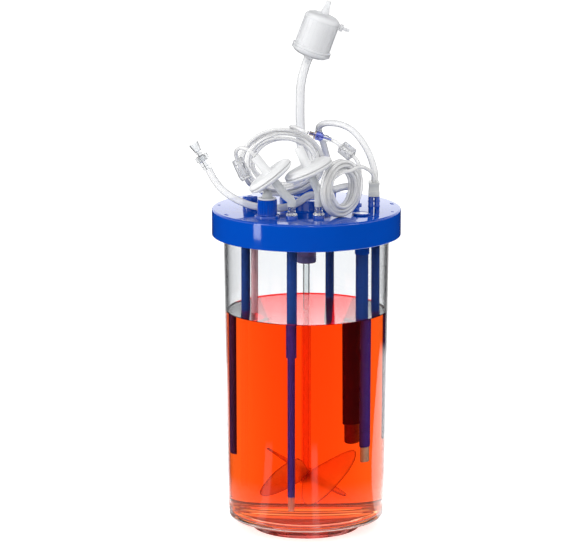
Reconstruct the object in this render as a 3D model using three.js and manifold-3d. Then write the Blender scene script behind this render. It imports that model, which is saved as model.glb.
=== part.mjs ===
// A single-use bench bioreactor: clear stirred vessel, bonded head plate with its ports and dip tubes,
// magnetic stirrer, tubing sets with two vent filters, and an exhaust capsule filter on its riser hose.
// Millimetres, +Z up. The origin is on the vessel's axis, on the surface that the foot stands on.
import * as THREE from "three";
import { mergeVertices } from "three/addons/utils/BufferGeometryUtils.js";
import Module from "manifold-3d";

const wasm = await Module();
wasm.setup();

// Fits that several pieces share.
const fit = 0.3; // between two seated pieces
const barbSlack = 0.6; // a barb's radius below its hose's bore, where the hose starts to bend
const overcut = 1; // how far a cutter runs past the face that it opens
const roundSides = 32;
const middleSides = 16;
const smallSides = 12;
const tubeSides = 10;

// Vessel: a draughted tub whose flat floor is carried on a moulded foot ring.
const wall = 2.5;
const rimRadius = 83.6;
const baseRadius = 79.1;
const baseCorner = 4;
const innerCorner = 8;
const footRadius = 55;
const footLand = 3.5;
const footDraught = 1;
const floorUnderside = 12;
const floorThickness = 4;
const flangeReach = 6.4;
const flangeThickness = 3;

// Head plate: a shallow lid with a deep skirt that stands clear of the vessel's flange.
const lidTop = 328;
const plateThickness = 5;
const skirtDepth = 27;
const skirtWall = 3;
const skirtClearance = 1.5;
const lidEdge = 2;
const spigotDepth = 8;
const spigotWall = 2.5;

// Medium.
const mediumLevel = 225.5;

// Stirrer.
const shaftRadius = 3.5;
const shaftWall = 1.2;
const impellerRadius = 38;
const impellerLift = 34.5; // from the vessel's floor to the hub
const impellerHubHeight = 16;
const impellerHubRadius = 5.5;
const impellerHubFloor = 0.7;
const impellerHubEdge = 1;
const bladeReach = 0.95; // a leaf's length as a share of the swept radius
const bladeThickness = 2;
const bladeChord = 74;
const bladePitch = 42; // degrees between a blade and the horizontal
const bladeCount = 3;
const sweepClearance = 1.5;
const hubHeight = 10.5;
const hubTopWall = 2.5;
const hubSideWall = 5.5;
const hubEdge = 1.2;
const rotorRadius = 20;
const rotorHeight = 9;
const rotorClearance = 1.5;
const rotorLift = 0.2;
const bushWall = 2.4;
const bushLength = 12;
const housingWall = 3.35;
const housingLength = 49.7;
const housingFlange = 3.3;
const housingFlangeLap = 3.5;
const housingLip = 1.5;
const shaftClearance = 0.8;

// Ports: each stands at an angle, and is set in from the narrowest part of the vessel's wall.
const sensorPort = port(233.5, 11.9);
const leftPort = port(192.1, 19.3);
const spargePort = port(323.8, 8.9);
const exhaustPort = port(90.8, 8.6);
const leftFilterPort = port(256.5, 14.9);
const rightFilterPort = port(281.8, 17.3);
const feedPort = port(15.6, 24.7);
const backPort = port(69.7, 7.3);
const gasPort = port(339.5, 5.1);
const sensorFlangeRadius = 12.5;
const sensorFlangeHeight = 2.5;
const sensorBore = 6.2;
const sensorNeckWall = 1.7;
const sensorNeckHeight = 11;
const collarWall = 1.45;
const collarHeight = 15;
const collarFlutes = 20;
const fluteDepth = 0.6;
const washerWall = 2.8;
const washerHeight = 1.5;
const plugHeight = 8;
const plugTaper = 0.6;
const leftPortRadius = 7.5;
const leftPortHeight = 6;
const leftPortWall = 2.4;
const stopperHeight = 7.5;
const stopperEdge = 1;
const portSink = 1; // how deep the stopper's socket goes into the plate
const capLap = 1.8;
const capHeight = 2.2;
const capEdge = 0.5;
const exhaustRadius = 12.4;
const exhaustHeight = 18;
const exhaustBore = 9;
const exhaustFootReach = 1.6;
const exhaustFootHeight = 2;
const adapterDepth = 12;
const adapterHeight = 3;
const adapterEdge = 0.8;
const adapterBore = 1.6;
const adapterBarb = 4;
const filterBossRadius = 5.6;
const filterBossHeight = 3;
const filterBossBore = 1.5;
const stubHeight = 9;
const stubFootReach = 2;
const stubFootHeight = 2;
const backBossReach = 3;
const backBossHeight = 6;
const backStubHeight = 14;
const gasStubRadius = 2.6;
const gasStubHeight = 16.5;
const gasStubPitch = 6;
const gasBlock = { width: 10.8, depth: 16, height: 14 };
const socketDepth = 12;
const socketWall = 2;
const bossEdge = 0.6;

// Dip tubes: each has its port's place or one of its own, and ends at a height over the vessel's floor.
const tubeWall = 1.8;
const thinTubeWall = 1.1;
const levelTube = { name: "level_tube", place: port(182.8, 15.9), radius: 4.5, end: 61.5 };
const sampleTube = { name: "sample_tube", place: port(195.2, 23.2), radius: 3.5, end: 31.5 };
const harvestSleeve = {
  name: "harvest_sleeve",
  place: port(257.9, 9.1),
  radius: 5,
  end: 174,
  wall: thinTubeWall,
};
const thermowell = { name: "thermowell", place: backPort, radius: 4.4, end: 83.5 };
const spargeTube = { name: "sparge_tube", place: spargePort, radius: 6.1, end: 93, wall: thinTubeWall };
const additionTube = { name: "addition_tube", place: port(355.9, 7.4), radius: 4.2, end: 77 };
const spargeSocketDepth = 34;
const spargeSocketWall = 0.9;
const harvestWall = 0.9;
const harvestDrop = 19; // from the plate down to the inner tube's top
const harvestEnd = 31.5;
const harvestTipEnd = 17;
const harvestTipRadius = 3.3;
const harvestTipBore = 1.2;
const wellTipRadius = 3.6;
const wellTipEnd = 62.5;
const spargeHolderEnd = 77;
const spargeTipEnd = 61.5;
const spargeTipRadius = 5.2;
const spargeTipNeck = 1.5;
const plugStemLength = 8;
const plugEdge = 0.8;
const fritStemLength = 5;

// Tubing.
const exhaustHoseRadius = 4.5;
const exhaustHoseBore = 3;
const legHoseRadius = 4.25;
const legHoseBore = 2.8;
const feedHoseRadius = 3.65;
const arcHoseRadius = 3.2;
const thinTubeRadius = 1.9;

// Vent filters: thin discs that stand on edge, each on a short leg hose.
const connectorHeight = 12;
const connectorRadius = 3.9;
const connectorBore = 0.7;
const connectorFlange = 2;
const connectorBarb = 4;
const connectorSpigot = 3;
const discRadius = 25;
const discHalf = 4.25;
const discRim = 0.5; // half the gap that the membrane lies in
const discRimWidth = 3.5;
const discWall = 1.2;
const discNeck = 2;
const discNeckRadius = 5.4;
const discNeckTop = 4.6;
const membraneThickness = 0.4;
const discStemLength = 18;
const discStemRadius = 4.75;
const discStemBore = 1.5;
const discBarbLength = 7;
const discBarbBore = 1.1;
const leftDisc = { port: leftFilterPort, shift: -21.1, rise: 42.7, tilt: -37.6 };
const rightDisc = { port: rightFilterPort, shift: -10.1, rise: 48.5, tilt: -24 };

// Exhaust capsule filter, in its own frame: heights along its axis from its middle.
const capsuleShift = 10.1;
const capsuleRise = 161.2;
const capsuleTilt = 20;
const capsuleRadius = 18.3;
const capsuleLip = 1.9;
const capsuleLipHeight = 2.7;
const capsuleWall = 1.8;
const capsuleJoint = -12.5;
const capsuleBaseDepth = 9;
const capsuleHousingHeight = 39;
const capsuleDome = 6.5;
const capsuleCrown = 6;
const capsuleNeck = 5.2;
const capsuleBarb = 6;
const capsuleBore = 1.6;
const ledgeRadius = 9;
const ledgeWall = 3;
const outletNeck = 4.2;
const outletNeckHeight = 3.5;
const outletBarb = 3.6;
const outletBarbHeight = 4.8;
const outletTip = 2.8;
const outletTipHeight = 5;
const ventHeight = 18.5;
const ventReach = 0.8;
const ventRadius = 3;
const ventBore = 1.3;
const ventKnobRadius = 3.9;
const ventKnobHeight = 3;
const ventStemRadius = 1.7;
const ventStemLength = 10.1;
const ventStemBore = 0.6;
const cartridgeGap = 2.5;
const cartridgePleats = 24;
const cartridgeCore = 5;
const cartridgeRoom = 0.7;
const pleatDepth = 2.6;

const group = new THREE.Group();
const plasticBlue = finish(0x0b46b4, 0.25);
const plasticDark = finish(0x2a3660, 0.35);
const clear = finish(0xe6edf2, 0.08, 0, 0.3);
const frosted = finish(0xeef0f2, 0.45, 0, 0.7);
const white = finish(0xf4f4f4, 0.5);
const grey = finish(0xb4b6b4, 0.55);
const silicone = finish(0xe9ebee, 0.4, 0, 0.6);
const steel = finish(0xc8c9cc, 0.3, 1);
const redMedium = finish(0xf03c0a, 0.05, 0, 0.8);

function finish(color, roughness, metalness = 0, opacity = 1) {
  const transparent = opacity < 1;
  return new THREE.MeshStandardMaterial({ color, roughness, metalness, opacity, transparent });
}

function piece(name, geometry, material, parent = group) {
  const mesh = new THREE.Mesh(geometry, material);
  mesh.name = name;
  parent.add(mesh);
  return mesh;
}

function port(angle, inset) {
  const turn = THREE.MathUtils.degToRad(angle);
  const reach = Math.min(baseRadius, rimRadius) - wall - inset;
  return [reach * Math.cos(turn), reach * Math.sin(turn)];
}

// A revolved solid about Z, from [radius, height] points that run outwards, up and back in.
function turned(profile, sides = roundSides) {
  const points = profile.map(([radius, height]) => new THREE.Vector2(radius, height));
  return new THREE.LatheGeometry(points, sides).rotateX(Math.PI / 2);
}

function ring(profile, sides = roundSides) {
  return turned([...profile, profile[0]], sides);
}

function rod(radius, bottom, top, sides = smallSides) {
  return turned([[0, bottom], [radius, bottom], [radius, top], [0, top]], sides);
}

function pipe(radius, bore, bottom, top, sides = tubeSides) {
  return ring([[bore, bottom], [radius, bottom], [radius, top], [bore, top]], sides);
}

// A rod whose outer edge is broken at its top.
function knob(radius, bottom, top, edge, sides = smallSides) {
  return turned([[0, bottom], [radius, bottom], [radius, top - edge], [radius - edge, top], [0, top]], sides);
}

// Points of an elliptical arc, for a profile: angles in degrees.
function arc(centre, radii, from, to, count) {
  const points = [];
  for (let i = 0; i <= count; i += 1) {
    const angle = THREE.MathUtils.degToRad(from + ((to - from) * i) / count);
    points.push([centre[0] + radii[0] * Math.cos(angle), centre[1] + radii[1] * Math.sin(angle)]);
  }
  return points;
}

// A closed outline from points about its middle, given by count and a radius for each step.
function radialOutline(count, radiusAt) {
  const points = [];
  for (let i = 0; i < count; i += 1) {
    const angle = (i * 2 * Math.PI) / count;
    const radius = radiusAt(i);
    points.push(new THREE.Vector2(radius * Math.cos(angle), radius * Math.sin(angle)));
  }
  return new THREE.Shape(points);
}

function extruded(outline, depth, curveSegments = 8) {
  return new THREE.ExtrudeGeometry(outline, { depth, bevelEnabled: false, curveSegments });
}

// A hose or tube along a route, with a bore where it has one.
function hose(route, radius, steps, sides = 8, bore = 0) {
  const section = new THREE.Shape().absarc(0, 0, radius, 0, 2 * Math.PI, false);
  if (bore > 0) {
    section.holes.push(new THREE.Path().absarc(0, 0, bore, 0, 2 * Math.PI, true));
  }
  const path = new THREE.CatmullRomCurve3(route.map((point) => new THREE.Vector3(...point)));
  return new THREE.ExtrudeGeometry(section, { steps, extrudePath: path, curveSegments: sides / 2 });
}

function solidOf(geometry) {
  const bare = geometry.clone();
  bare.deleteAttribute("normal");
  bare.deleteAttribute("uv");
  const merged = mergeVertices(bare, 1e-3);
  const vertProperties = new Float32Array(merged.attributes.position.array);
  const triVerts = new Uint32Array(merged.index.array);
  return new wasm.Manifold(new wasm.Mesh({ numProp: 3, vertProperties, triVerts }));
}

function geometryOf(solid) {
  const mesh = solid.getMesh();
  const geometry = new THREE.BufferGeometry();
  geometry.setAttribute("position", new THREE.BufferAttribute(mesh.vertProperties, 3));
  geometry.setIndex(new THREE.BufferAttribute(mesh.triVerts, 1));
  geometry.computeVertexNormals();
  return geometry;
}

function joined(base, ...others) {
  return geometryOf(others.reduce((solid, other) => solid.add(solidOf(other)), solidOf(base)));
}

function cut(base, ...others) {
  return geometryOf(others.reduce((solid, other) => solid.subtract(solidOf(other)), solidOf(base)));
}

// Heights and radii that the pieces share.
const plateUnderside = lidTop - plateThickness;
const rimTop = plateUnderside - fit;
const neckHeight = rimTop - flangeThickness;
const floorTop = floorUnderside + floorThickness;
const hubTop = lidTop + hubHeight;
const mouthRadius = rimRadius - wall;
const flangeRadius = rimRadius + flangeReach;
const lidRadius = flangeRadius + skirtClearance + skirtWall;
const hubRadius = rotorRadius + rotorClearance + hubSideWall;
const bushRadius = shaftRadius + fit + bushWall;
const impellerBottom = floorTop + impellerLift;
const impellerMiddle = impellerBottom + impellerHubHeight / 2;
const sensorNeckRadius = sensorBore + sensorNeckWall;
const connectorTop = lidTop + connectorHeight;
const discShoulder = discHalf + discNeck;

function vesselRadiusAt(height) {
  const start = floorUnderside + baseCorner;
  return baseRadius + ((rimRadius - baseRadius) * (height - start)) / (neckHeight - start);
}

function vesselInside(level) {
  const cornerRadius = vesselRadiusAt(floorTop + innerCorner) - wall;
  const centre = [cornerRadius - innerCorner, floorTop + innerCorner];
  return [
    ...arc(centre, [innerCorner, innerCorner], -90, 0, 3),
    [vesselRadiusAt(level) - wall, level],
  ];
}

function vessel() {
  const hollow = footRadius - footLand;
  const cornerCentre = [baseRadius - baseCorner, floorUnderside + baseCorner];
  const profile = [
    [0, floorUnderside],
    [hollow - footDraught, floorUnderside],
    [hollow, 0],
    [footRadius, 0],
    [footRadius + footDraught, floorUnderside],
    ...arc(cornerCentre, [baseCorner, baseCorner], -90, 0, 3),
    [rimRadius, neckHeight],
    [flangeRadius, neckHeight],
    [flangeRadius, rimTop],
    [mouthRadius, rimTop],
    ...vesselInside(neckHeight).reverse(),
    [0, floorTop],
  ];
  piece("vessel", turned(profile), clear);
}

// The ports' bosses above the plate, joined to it, and the holes through it.
function at(place, geometry) {
  return geometry.translate(place[0], place[1], 0);
}

function boss(place, radius, height, edge = 0) {
  const root = lidTop - overcut;
  const top = lidTop + height;
  return at(place, edge > 0 ? knob(radius, root, top, edge) : rod(radius, root, top, tubeSides));
}

function hole(place, radius, bottom, top) {
  return at(place, rod(radius, bottom, top, radius < sensorBore + fit ? tubeSides : middleSides));
}

function lid() {
  const spigot = mouthRadius - fit;
  const spigotBottom = plateUnderside - spigotDepth;
  const inner = lidRadius - skirtWall;
  const skirtBottom = lidTop - skirtDepth;
  return turned([
    [0, plateUnderside],
    [spigot - spigotWall, plateUnderside],
    [spigot - spigotWall, spigotBottom],
    [spigot, spigotBottom],
    [spigot, plateUnderside],
    [inner, plateUnderside],
    [inner, skirtBottom],
    [lidRadius, skirtBottom],
    ...arc([lidRadius - lidEdge, lidTop - lidEdge], [lidEdge, lidEdge], 0, 90, 2),
    [0, lidTop],
  ]);
}

function hub() {
  const edge = arc([hubRadius - hubEdge, hubTop - hubEdge], [hubEdge, hubEdge], 0, 90, 2);
  return turned([[0, lidTop - overcut], [hubRadius, lidTop - overcut], ...edge, [0, hubTop]]);
}

function headPlate() {
  const through = plateUnderside - overcut;
  const above = hubTop + stubHeight + exhaustHeight;
  const neckTop = sensorFlangeHeight + sensorNeckHeight;
  const bosses = [
    hub(),
    boss(sensorPort, sensorFlangeRadius, sensorFlangeHeight, bossEdge),
    boss(sensorPort, sensorNeckRadius, neckTop),
    boss(leftPort, leftPortRadius, leftPortHeight, bossEdge),
    boss(exhaustPort, exhaustRadius + exhaustFootReach, exhaustFootHeight, bossEdge),
    boss(exhaustPort, exhaustRadius, exhaustHeight),
    boss(leftFilterPort, filterBossRadius, filterBossHeight, bossEdge),
    boss(rightFilterPort, filterBossRadius, filterBossHeight, bossEdge),
    boss(feedPort, feedHoseRadius + stubFootReach, stubFootHeight),
    boss(feedPort, feedHoseRadius, stubHeight),
    boss(backPort, arcHoseRadius + backBossReach, backBossHeight, bossEdge),
    boss(backPort, arcHoseRadius, backStubHeight),
    ...gasStubs().map((place) => boss(place, gasStubRadius, gasStubHeight)),
    ...dipTubes.map((tube) => socket(tube)),
  ];
  const holes = [
    rod(rotorRadius + rotorClearance, through, hubTop - hubTopWall, roundSides),
    hole(sensorPort, sensorBore, through, above),
    hole(leftPort, leftPortRadius - leftPortWall, lidTop - portSink, above),
    hole(exhaustPort, exhaustBore, through, above),
    hole(spargePort, sensorBore, through, above),
    hole(leftFilterPort, filterBossBore, through, above),
    hole(rightFilterPort, filterBossBore, through, above),
    ...dipTubes.map((tube) => hole(tube.place, tube.radius + fit, 0, plateUnderside)),
  ];
  piece("head_plate", cut(joined(lid(), ...bosses), ...holes), plasticBlue);
}

function gasStubs() {
  const half = gasStubPitch / 2;
  return [-half, half].map((side) => [gasPort[0] + side, gasPort[1]]);
}

// Dip tubes hang in sockets moulded under the plate.
const dipTubes = [levelTube, sampleTube, harvestSleeve, thermowell, spargeTube, additionTube];

function socket(tube) {
  const long = tube === spargeTube;
  const outer = tube.radius + (long ? spargeSocketWall : socketWall);
  const depth = long ? spargeSocketDepth : socketDepth;
  return hole(tube.place, outer, plateUnderside - depth, plateUnderside + overcut);
}

function boreOf(tube) {
  return tube.radius - (tube.wall ?? tubeWall);
}

function tubes() {
  for (const tube of dipTubes) {
    const material = tube === sampleTube ? clear : plasticDark;
    const geometry = pipe(tube.radius, boreOf(tube), floorTop + tube.end, plateUnderside - fit);
    piece(tube.name, at(tube.place, geometry), material);
  }
  harvestLine();
  const wellTip = plug(wellTipRadius, thermowell, floorTop + wellTipEnd);
  piece("thermowell_tip", at(thermowell.place, wellTip), steel);
  sparger();
}

// The inner harvest tube slides up its sleeve and ends in a soft tip.
function harvestLine() {
  const outer = boreOf(harvestSleeve) - fit;
  const bore = outer - harvestWall;
  const end = floorTop + harvestEnd;
  const top = plateUnderside - harvestDrop;
  piece("harvest_tube", at(harvestSleeve.place, pipe(outer, bore, end, top)), plasticDark);
  const bottom = floorTop + harvestTipEnd;
  const stem = bore - fit;
  const tip = ring([
    [harvestTipBore, bottom],
    [harvestTipRadius, bottom],
    [harvestTipRadius, end - fit],
    [stem, end - fit],
    [stem, end + plugStemLength],
    [harvestTipBore, end + plugStemLength],
  ], tubeSides);
  piece("harvest_tip", at(harvestSleeve.place, tip), grey);
}

// The sparge tube ends in a holder with a sintered tip.
function sparger() {
  const holderEnd = floorTop + spargeHolderEnd;
  const neck = spargeTipRadius - spargeTipNeck;
  const holder = plug(spargeTube.radius, spargeTube, holderEnd);
  const seat = rod(neck + fit, 0, holderEnd + fritStemLength + fit, tubeSides);
  piece("sparge_holder", at(spargePort, cut(holder, seat)), plasticDark);
  const end = floorTop + spargeTipEnd;
  const frit = turned([
    [0, end],
    [spargeTipRadius - plugEdge, end],
    [spargeTipRadius, end + plugEdge],
    [spargeTipRadius, holderEnd - fit],
    [neck, holderEnd - fit],
    [neck, holderEnd + fritStemLength],
    [0, holderEnd + fritStemLength],
  ], tubeSides);
  piece("sparge_tip", at(spargePort, frit), steel);
}

// A closed end that hangs below a tube by a stem in its bore.
function plug(radius, tube, bottom) {
  const stem = boreOf(tube) - fit;
  const tubeEnd = floorTop + tube.end;
  return turned([
    [0, bottom],
    [radius - plugEdge, bottom],
    [radius, bottom + plugEdge],
    [radius, tubeEnd - fit],
    [stem, tubeEnd - fit],
    [stem, tubeEnd + plugStemLength],
    [0, tubeEnd + plugStemLength],
  ], tubeSides);
}

// The shaft hangs from the drive rotor in the hub, and runs in two bushes in its housing.
function stirrer() {
  const top = plateUnderside - fit;
  const bottom = top - housingLength;
  const lip = bottom + housingLip;
  const outer = bushRadius + fit + housingWall;
  const flange = rotorRadius + rotorClearance + housingFlangeLap;
  const throat = shaftRadius + shaftClearance;
  const housing = ring([
    [throat, bottom],
    [outer, bottom],
    [outer, top - housingFlange],
    [flange, top - housingFlange],
    [flange, top],
    [bushRadius + fit, top],
    [bushRadius + fit, lip],
    [throat, lip],
  ], middleSides);
  piece("bearing_housing", housing, plasticDark);
  const bush = (start) => pipe(bushRadius, shaftRadius + fit, start, start + bushLength);
  piece("lower_bush", bush(lip + fit), white);
  piece("upper_bush", bush(top - bushLength - fit), white);
  const rotorBottom = top + fit + rotorLift;
  const rotorTop = rotorBottom + rotorHeight;
  piece("drive_rotor", pipe(rotorRadius, shaftRadius + fit, rotorBottom, rotorTop, middleSides), grey);
  const shaftBottom = impellerBottom + impellerHubFloor + fit;
  piece("stirrer_shaft", pipe(shaftRadius, shaftRadius - shaftWall, shaftBottom, rotorTop), clear);
  piece("impeller", impeller(), clear);
}

// One pitched blade: a leaf that swells out from a short root on the hub, turned to its pitch.
function blade() {
  const reach = impellerRadius * bladeReach;
  const half = bladeChord / 2;
  const leaf = new THREE.Shape();
  const curves = [
    [[0.12, -0.5], [0.24, -0.95], [0.48, -1]],
    [[0.76, -1], [0.92, -0.4], [0.96, 0.15]],
    [[0.97, 0.5], [0.86, 0.88], [0.68, 0.95]],
    [[0.5, 0.98], [0.2, 0.45], [0, 0.16]],
  ];
  leaf.moveTo(0, -0.2 * half);
  for (const curve of curves) {
    leaf.bezierCurveTo(...curve.flatMap(([out, along]) => [out * reach, along * half]));
  }
  const plate = extruded(leaf, bladeThickness, 4).translate(0, 0, -bladeThickness / 2);
  return plate.rotateX(THREE.MathUtils.degToRad(bladePitch));
}

function impeller() {
  const top = impellerBottom + impellerHubHeight;
  const body = turned([
    [0, impellerBottom],
    [impellerHubRadius - impellerHubEdge, impellerBottom],
    [impellerHubRadius, impellerBottom + impellerHubEdge],
    [impellerHubRadius, top - impellerHubEdge],
    [impellerHubRadius - impellerHubEdge, top],
    [0, top],
  ], smallSides);
  const blades = [];
  for (let i = 0; i < bladeCount; i += 1) {
    const turn = new THREE.Matrix4().makeRotationZ(Math.PI / 2 + (i * 2 * Math.PI) / bladeCount);
    blades.push(blade().applyMatrix4(turn).translate(0, 0, impellerMiddle));
  }
  const bore = rod(shaftRadius + fit, impellerBottom + impellerHubFloor, top + bladeChord, tubeSides);
  return cut(joined(body, ...blades), bore);
}

// The medium fills the vessel to its level, clear of all that stands in it and of the impeller's sweep.
function medium() {
  const side = vesselInside(mediumLevel).map(([radius, height]) => [radius - fit, height]);
  side[side.length - 1][1] = mediumLevel;
  const floor = floorTop + fit;
  const body = turned([[0, floor], [side[0][0], floor], ...side.slice(1), [0, mediumLevel]]);
  const half = (bladeChord / 2) * Math.sin(THREE.MathUtils.degToRad(bladePitch)) + sweepClearance;
  const above = mediumLevel + overcut;
  const ends = new Map([[thermowell, wellTipEnd], [spargeTube, spargeTipEnd]]);
  const rooms = dipTubes.map((tube) => {
    const bottom = floorTop + (ends.get(tube) ?? tube.end) - fit;
    return hole(tube.place, tube.radius + fit, bottom, above);
  });
  const sweep = impellerRadius + sweepClearance;
  rooms.push(
    hole(harvestSleeve.place, boreOf(harvestSleeve), floorTop + harvestTipEnd - fit, above),
    rod(sweep, impellerMiddle - half, impellerMiddle + half, roundSides),
    rod(shaftRadius + shaftClearance, impellerMiddle, above, tubeSides),
  );
  piece("culture_medium", cut(body, ...rooms), redMedium);
}

// The fluted collar clamps a blind plug and its washer on the sensor port.
function sensorFittings() {
  const bottom = lidTop + sensorFlangeHeight + fit;
  const top = bottom + collarHeight;
  const neckTop = lidTop + sensorFlangeHeight + sensorNeckHeight;
  const radius = sensorNeckRadius + fit + collarWall;
  const outline = radialOutline(collarFlutes * 4, (i) => (i % 4 < 2 ? radius : radius - fluteDepth));
  const body = extruded(outline, collarHeight).translate(0, 0, bottom);
  const neckRoom = rod(sensorNeckRadius + fit, bottom - overcut, neckTop + fit);
  const plugRoom = rod(sensorBore, bottom - overcut, top + overcut);
  piece("sensor_collar", at(sensorPort, cut(body, neckRoom, plugRoom)), plasticBlue);
  const shoulder = top + fit + washerHeight;
  const washer = pipe(sensorBore + washerWall, sensorBore, top + fit, shoulder);
  piece("sensor_washer", at(sensorPort, washer), white);
  const stem = sensorBore - fit;
  const dome = turned([
    [0, plateUnderside],
    [stem, plateUnderside],
    [stem, shoulder],
    ...arc([0, shoulder], [stem - plugTaper, plugHeight], 0, 90, 4),
  ], smallSides);
  piece("sensor_plug", at(sensorPort, dome), grey);
}

function portClosures() {
  const seat = lidTop + leftPortHeight + fit;
  const socketFloor = lidTop - portSink + fit;
  const stem = leftPortRadius - leftPortWall - fit;
  const stopper = turned([
    [0, socketFloor],
    [stem, socketFloor],
    [stem, seat],
    [leftPortRadius, seat],
    [leftPortRadius, seat + stopperHeight - stopperEdge],
    [leftPortRadius - stopperEdge, seat + stopperHeight],
    [0, seat + stopperHeight],
  ], smallSides);
  piece("left_port_stopper", at(leftPort, stopper), plasticBlue);
  const capStem = sensorBore - fit;
  const capRadius = sensorBore + capLap;
  const cap = turned([
    [0, plateUnderside + fit],
    [capStem, plateUnderside + fit],
    [capStem, lidTop + fit],
    [capRadius, lidTop + fit],
    [capRadius, lidTop + capHeight - capEdge],
    [capRadius - capEdge, lidTop + capHeight],
    [0, lidTop + capHeight],
  ], smallSides);
  piece("sparge_port_cap", at(spargePort, cap), plasticBlue);
}

// Half of a vent filter in its own frame: the disc's middle at the origin, its stem along -Z.
function filterShell(stemRadius, stemLength, bore) {
  const stemEnd = -discShoulder - stemLength;
  return ring([
    [bore, stemEnd],
    [stemRadius, stemEnd],
    [stemRadius, -discShoulder],
    [discNeckTop, -discShoulder],
    [discNeckRadius, -discHalf],
    [discRadius - discRimWidth, -discHalf],
    [discRadius, -discHalf + discNeck],
    [discRadius, -discRim],
    [discRadius - discRimWidth, -discRim],
    [discRadius - discRimWidth - discWall, -discHalf + discWall],
    [bore, -discHalf + discWall],
  ], middleSides);
}

function ventFilter(side, disc) {
  const filter = new THREE.Group();
  filter.position.set(...discPoint(disc, 0));
  filter.rotation.y = THREE.MathUtils.degToRad(disc.tilt);
  group.add(filter);
  const barb = filterShell(legHoseBore - barbSlack, discBarbLength, discBarbBore);
  piece(side + "_filter_outlet", barb, frosted, filter);
  const inlet = filterShell(discStemRadius, discStemLength, discStemBore).rotateX(Math.PI);
  piece(side + "_filter_inlet", inlet, frosted, filter);
  const half = membraneThickness / 2;
  piece(side + "_filter_membrane", rod(discRadius - discRim, -half, half, middleSides), white, filter);
}

// The clear connector that a filter's leg hose is pushed on.
function filterConnector(side, place) {
  const seat = lidTop + filterBossHeight + fit;
  const spigot = filterBossBore - fit;
  const barb = legHoseBore - barbSlack;
  const profile = [
    [connectorBore, seat - connectorSpigot],
    [spigot, seat - connectorSpigot],
    [spigot, seat],
    [filterBossRadius, seat],
    [filterBossRadius, seat + connectorFlange],
    [connectorRadius, seat + connectorFlange],
    [connectorRadius, connectorTop],
    [barb, connectorTop],
    [barb, connectorTop + connectorBarb],
    [connectorBore, connectorTop + connectorBarb],
  ];
  piece(side + "_filter_connector", at(place, ring(profile, tubeSides)), clear);
}

function discPoint(disc, along) {
  const tilt = THREE.MathUtils.degToRad(disc.tilt);
  const [x, y] = disc.port;
  return [x + disc.shift + along * Math.sin(tilt), y, lidTop + disc.rise + along * Math.cos(tilt)];
}

// A leg hose starts upright on its connector and ends square on the filter's shoulder.
function legHose(side, disc) {
  const start = connectorTop + fit;
  const end = -(discShoulder + fit);
  const [x, y] = disc.port;
  const route = [
    [x, y, start],
    [x, y, start + legHoseRadius],
    discPoint(disc, end - 4 * legHoseRadius),
    discPoint(disc, end - 2 * legHoseRadius),
    discPoint(disc, end),
  ];
  piece(side + "_filter_leg", hose(route, legHoseRadius, 7, 8, legHoseBore), silicone);
}

function exhaustFittings() {
  const seat = lidTop + exhaustHeight + fit;
  const top = seat + adapterHeight;
  const stem = exhaustBore - fit;
  const barb = exhaustHoseBore - barbSlack;
  const adapter = ring([
    [adapterBore, seat - adapterDepth],
    [stem, seat - adapterDepth],
    [stem, seat],
    [exhaustRadius, seat],
    [exhaustRadius, top - adapterEdge],
    [exhaustRadius - adapterEdge, top],
    [barb, top],
    [barb, top + adapterBarb],
    [adapterBore, top + adapterBarb],
  ], middleSides);
  piece("exhaust_adapter", at(exhaustPort, adapter), plasticBlue);
  const [x, y] = exhaustPort;
  const bends = [[-4.4, 51], [-5.3, 71], [-5.5, 96], [-4.8, 113]];
  const route = [
    [x, y, top + fit],
    [x, y, top + 2 * adapterBarb],
    ...bends.map(([shift, rise]) => [x + shift, y, lidTop + rise]),
    capsulePoint(capsuleBottom - 2 * exhaustHoseRadius),
    capsulePoint(capsuleBottom - fit),
  ];
  piece("exhaust_hose", hose(route, exhaustHoseRadius, 11, 8, exhaustHoseBore), silicone);
}

const capsuleBottom = capsuleJoint - capsuleBaseDepth;
const capsuleTop = capsuleJoint + capsuleHousingHeight;
const capsuleInner = capsuleRadius - capsuleWall;
const capsuleFlange = capsuleRadius + capsuleLip;
const cartridgeSeat = capsuleJoint - overcut;

function capsulePoint(along) {
  const tilt = THREE.MathUtils.degToRad(capsuleTilt);
  const [x, y] = exhaustPort;
  return [x + capsuleShift + along * Math.sin(tilt), y, lidTop + capsuleRise + along * Math.cos(tilt)];
}

function capsule() {
  const filter = new THREE.Group();
  filter.position.set(...capsulePoint(0));
  filter.rotation.y = THREE.MathUtils.degToRad(capsuleTilt);
  group.add(filter);
  piece("capsule_base", capsuleBase(), frosted, filter);
  piece("capsule_housing", capsuleHousing(), frosted, filter);
  const valve = ring([
    [ventStemBore, 0],
    [ventKnobRadius, 0],
    [ventKnobRadius, ventKnobHeight],
    [ventStemRadius, ventKnobHeight],
    [ventStemRadius, ventStemLength],
    [ventStemBore, ventStemLength],
  ], tubeSides);
  const vent = piece("vent_valve", valve, frosted, filter);
  vent.position.set(capsuleRadius + ventReach + fit, 0, ventHeight);
  vent.rotation.y = Math.PI / 2;
  piece("filter_cartridge", cartridge().translate(0, 0, cartridgeSeat + fit), white, filter);
}

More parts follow.
